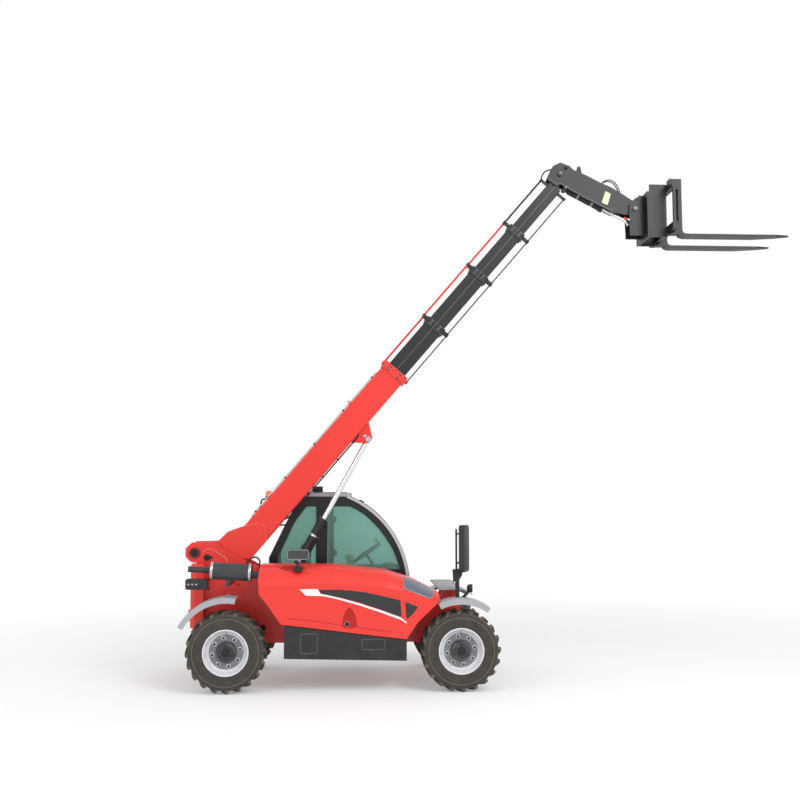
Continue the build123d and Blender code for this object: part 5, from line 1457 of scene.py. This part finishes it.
seatShape = {"cushion": (772, 1222, 274, 706, 772, 872), "back": (708, 792, 276, 704, 892, 1470),
             "corner": (46, 60), "voxel": 0.006, "quickVoxel": 2.5, "pressure": 4.0, "frames": 20,
             "quality": 5, "cap": 0.012, "seams": (0.365, 0.615), "seamWidth": 0.006, "seamDepth": 0.006}


def softBlock(name, box, corner):
    # a block with rounded edges, as rings of a rounded outline drawn in at both faces
    x0, x1, y0, y1, z0, z1 = box
    thin = (x1 - x0) < (z1 - z0)
    outline = roundedRect(y0, y1, z0, z1, corner, 8) if thin else roundedRect(x0, x1, y0, y1, corner, 8)
    low, high = (x0, x1) if thin else (z0, z1)
    middle = outline.mean(axis=0)
    levels = np.array([low, low + 4, low + 16, (low + high) / 2, high - 16, high - 4, high])
    draw = np.array([0.93, 0.97, 0.99, 1.0, 0.99, 0.97, 0.93])
    rings = middle + (outline - middle)[None] * draw[:, None, None]
    level = np.broadcast_to(levels[:, None], rings.shape[:2])
    points = (rearWall if thin else spot)(rings[..., 0], rings[..., 1], level)
    return newPiece(name, [gridShape(points, roundColumns=True, capStart=True, capEnd=True)], "seatCloth",
                    "chassis")


def meshRows(mesh, name):
    # a mesh's places or normals as rows of three
    values = np.empty(len(mesh.vertices) * 3)
    mesh.vertices.foreach_get(name, values)
    return values.reshape(-1, 3)


def inflate(piece):
    # swells a closed form by cloth pressure and keeps each point within the cap of where it was
    bpy.context.view_layer.objects.active = piece
    remesh = piece.modifiers.new("remesh", "REMESH")
    remesh.mode = "VOXEL"
    remesh.voxel_size = seatShape["voxel"] * 1.0
    graph = bpy.context.evaluated_depsgraph_get()
    mesh = bpy.data.meshes.new_from_object(piece.evaluated_get(graph))
    piece.modifiers.clear()
    piece.data = mesh
    before = meshRows(mesh, "co")
    cloth = piece.modifiers.new("swell", "CLOTH")
    cloth.settings.use_pressure = True
    cloth.settings.uniform_pressure_force = seatShape["pressure"]
    cloth.settings.effector_weights.gravity = 0.0
    cloth.settings.quality = seatShape["quality"]
    scene = bpy.context.scene
    for number in range(1, seatShape["frames"] + 1):
        scene.frame_set(number)
    graph = bpy.context.evaluated_depsgraph_get()
    move = meshRows(bpy.data.meshes.new_from_object(piece.evaluated_get(graph)), "co") - before
    far = np.linalg.norm(move, axis=1, keepdims=True)
    move *= np.minimum(1.0, seatShape["cap"] / np.maximum(far, 1e-9))
    mesh.vertices.foreach_set("co", (before + move).ravel())
    piece.modifiers.clear()
    scene.frame_set(1)
    mesh.update()


def sewnChannels(piece):
    # points near a seam sink by a bell curve of their distance from it
    mesh = piece.data
    places, normals = meshRows(mesh, "co"), meshRows(mesh, "normal")
    sink = sum(np.exp(-((places[:, 1] - seam) / seatShape["seamWidth"]) ** 2)
               for seam in seatShape["seams"])
    places = places - normals * (seatShape["seamDepth"] * np.minimum(sink, 1.0))[:, None]
    mesh.vertices.foreach_set("co", places.ravel())
    mesh.update()


cushion = softBlock("seatCushion", seatShape["cushion"], seatShape["corner"][0])
backrest = softBlock("seatBack", seatShape["back"], seatShape["corner"][1])
for pad in (cushion, backrest):
    inflate(pad)
    sewnChannels(pad)
    smooth = pad.modifiers.new("smooth", "SUBSURF")
    smooth.levels = smooth.render_levels = 1
    pad.data.polygons.foreach_set("use_smooth", np.ones(len(pad.data.polygons), bool))
    pad.data.materials.clear()
    pad.data.materials.append(finishes["seatCloth"])
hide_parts("seat")
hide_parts("seat")
print("seat padded")

# studio

viewpoint = {"place": (-1.631, -11.405, 2.020), "tiltUp": 5.40, "turn": -3.0, "lens": 45.22}
studio = {
    "floorZ": -0.001, "floorReach": 40.0, "floorColour": (0.93, 0.93, 0.93),
    "keyPower": 820.0, "keyPlace": (5.0, -9.0, 9.0), "keySize": 6.0,
    "fillPower": 260.0, "fillPlace": (-9.0, -7.0, 5.0), "fillSize": 7.0,
    "sky": 0.72,
}

camera = bpy.data.objects.new("camera", bpy.data.cameras.new("camera"))
camera.location = viewpoint["place"]
camera.rotation_euler = (math.radians(90 + viewpoint["tiltUp"]), 0.0, math.radians(viewpoint["turn"]))
camera.data.sensor_width = 36.0
camera.data.lens = viewpoint["lens"]
camera.data.clip_end = 200.0
bpy.context.scene.collection.objects.link(camera)
bpy.context.scene.camera = camera


def areaLamp(name, place, target, power, size):
    # a square lamp, turned from straight down to look at its target
    lamp = bpy.data.lights.new(name, "AREA")
    lamp.energy, lamp.size = power, size
    holder = bpy.data.objects.new(name, lamp)
    holder.location = place
    aim = np.array(target) - np.array(place)
    level = math.hypot(aim[0], aim[1])
    holder.rotation_euler = (math.atan2(level, -aim[2]), 0.0, math.atan2(aim[1], aim[0]) - math.pi / 2)
    bpy.context.scene.collection.objects.link(holder)


areaLamp("keyLamp", studio["keyPlace"], (0.0, 0.0, 2.0), studio["keyPower"], studio["keySize"])
areaLamp("fillLamp", studio["fillPlace"], (0.0, 0.0, 1.5), studio["fillPower"], studio["fillSize"])


def seenDirectly(tree):
    # 1 for rays from the camera, and for those that glass and metal send on
    path = tree.nodes.new("ShaderNodeLightPath")
    sentOn = calculate(tree, "MAXIMUM", path.outputs["Is Glossy Ray"], path.outputs["Is Transmission Ray"])
    return calculate(tree, "MAXIMUM", path.outputs["Is Camera Ray"], sentOn)


world = bpy.data.worlds.new("paleSky")
world.use_nodes = True
bpy.context.scene.world = world
sky = world.node_tree
background = sky.nodes["Background"]
strength = spread(sky, seenDirectly(sky), studio["sky"], 1.0, 0.0, 1.0)
sky.links.new(strength, background.inputs["Strength"])
background.inputs["Color"].default_value = (1.0, 1.0, 1.0, 1.0)

reach = studio["floorReach"]
floorMesh = bpy.data.meshes.new("floor")
floorMesh.from_pydata([(-reach, -reach, studio["floorZ"]), (reach, -reach, studio["floorZ"]),
                       (reach, reach, studio["floorZ"]), (-reach, reach, studio["floorZ"])], [],
                      [(0, 1, 2, 3)])
floor = bpy.data.objects.new("floor", floorMesh)
bpy.context.scene.collection.objects.link(floor)
floorMaterial, floorTree, floorShader = newMaterial("paleFloor")
floorShader.inputs["Base Color"].default_value = (*studio["floorColour"], 1.0)
floorShader.inputs["Roughness"].default_value = 0.9
floorShader.inputs["Specular IOR Level"].default_value = 0.0
# the floor shows its shadow near the machine and turns into the white of the sky with distance
farAway = vectorStep(floorTree, "LENGTH", objectPlace(floorTree), None).outputs["Value"]
whiteness = spread(floorTree, farAway, 0.25, 1.0, 3.5, 9.0)
glow = floorTree.nodes.new("ShaderNodeEmission")
mixed = floorTree.nodes.new("ShaderNodeMixShader")
shown = calculate(floorTree, "MULTIPLY", whiteness, seenDirectly(floorTree))
floorTree.links.new(shown, mixed.inputs["Fac"])
floorTree.links.new(floorShader.outputs["BSDF"], mixed.inputs[1])
floorTree.links.new(glow.outputs["Emission"], mixed.inputs[2])
floorTree.links.new(mixed.outputs["Shader"], floorTree.nodes["Material Output"].inputs["Surface"])
floorMesh.materials.append(floorMaterial)
bpy.context.scene.view_settings.view_transform = "Standard"
print("studio set")
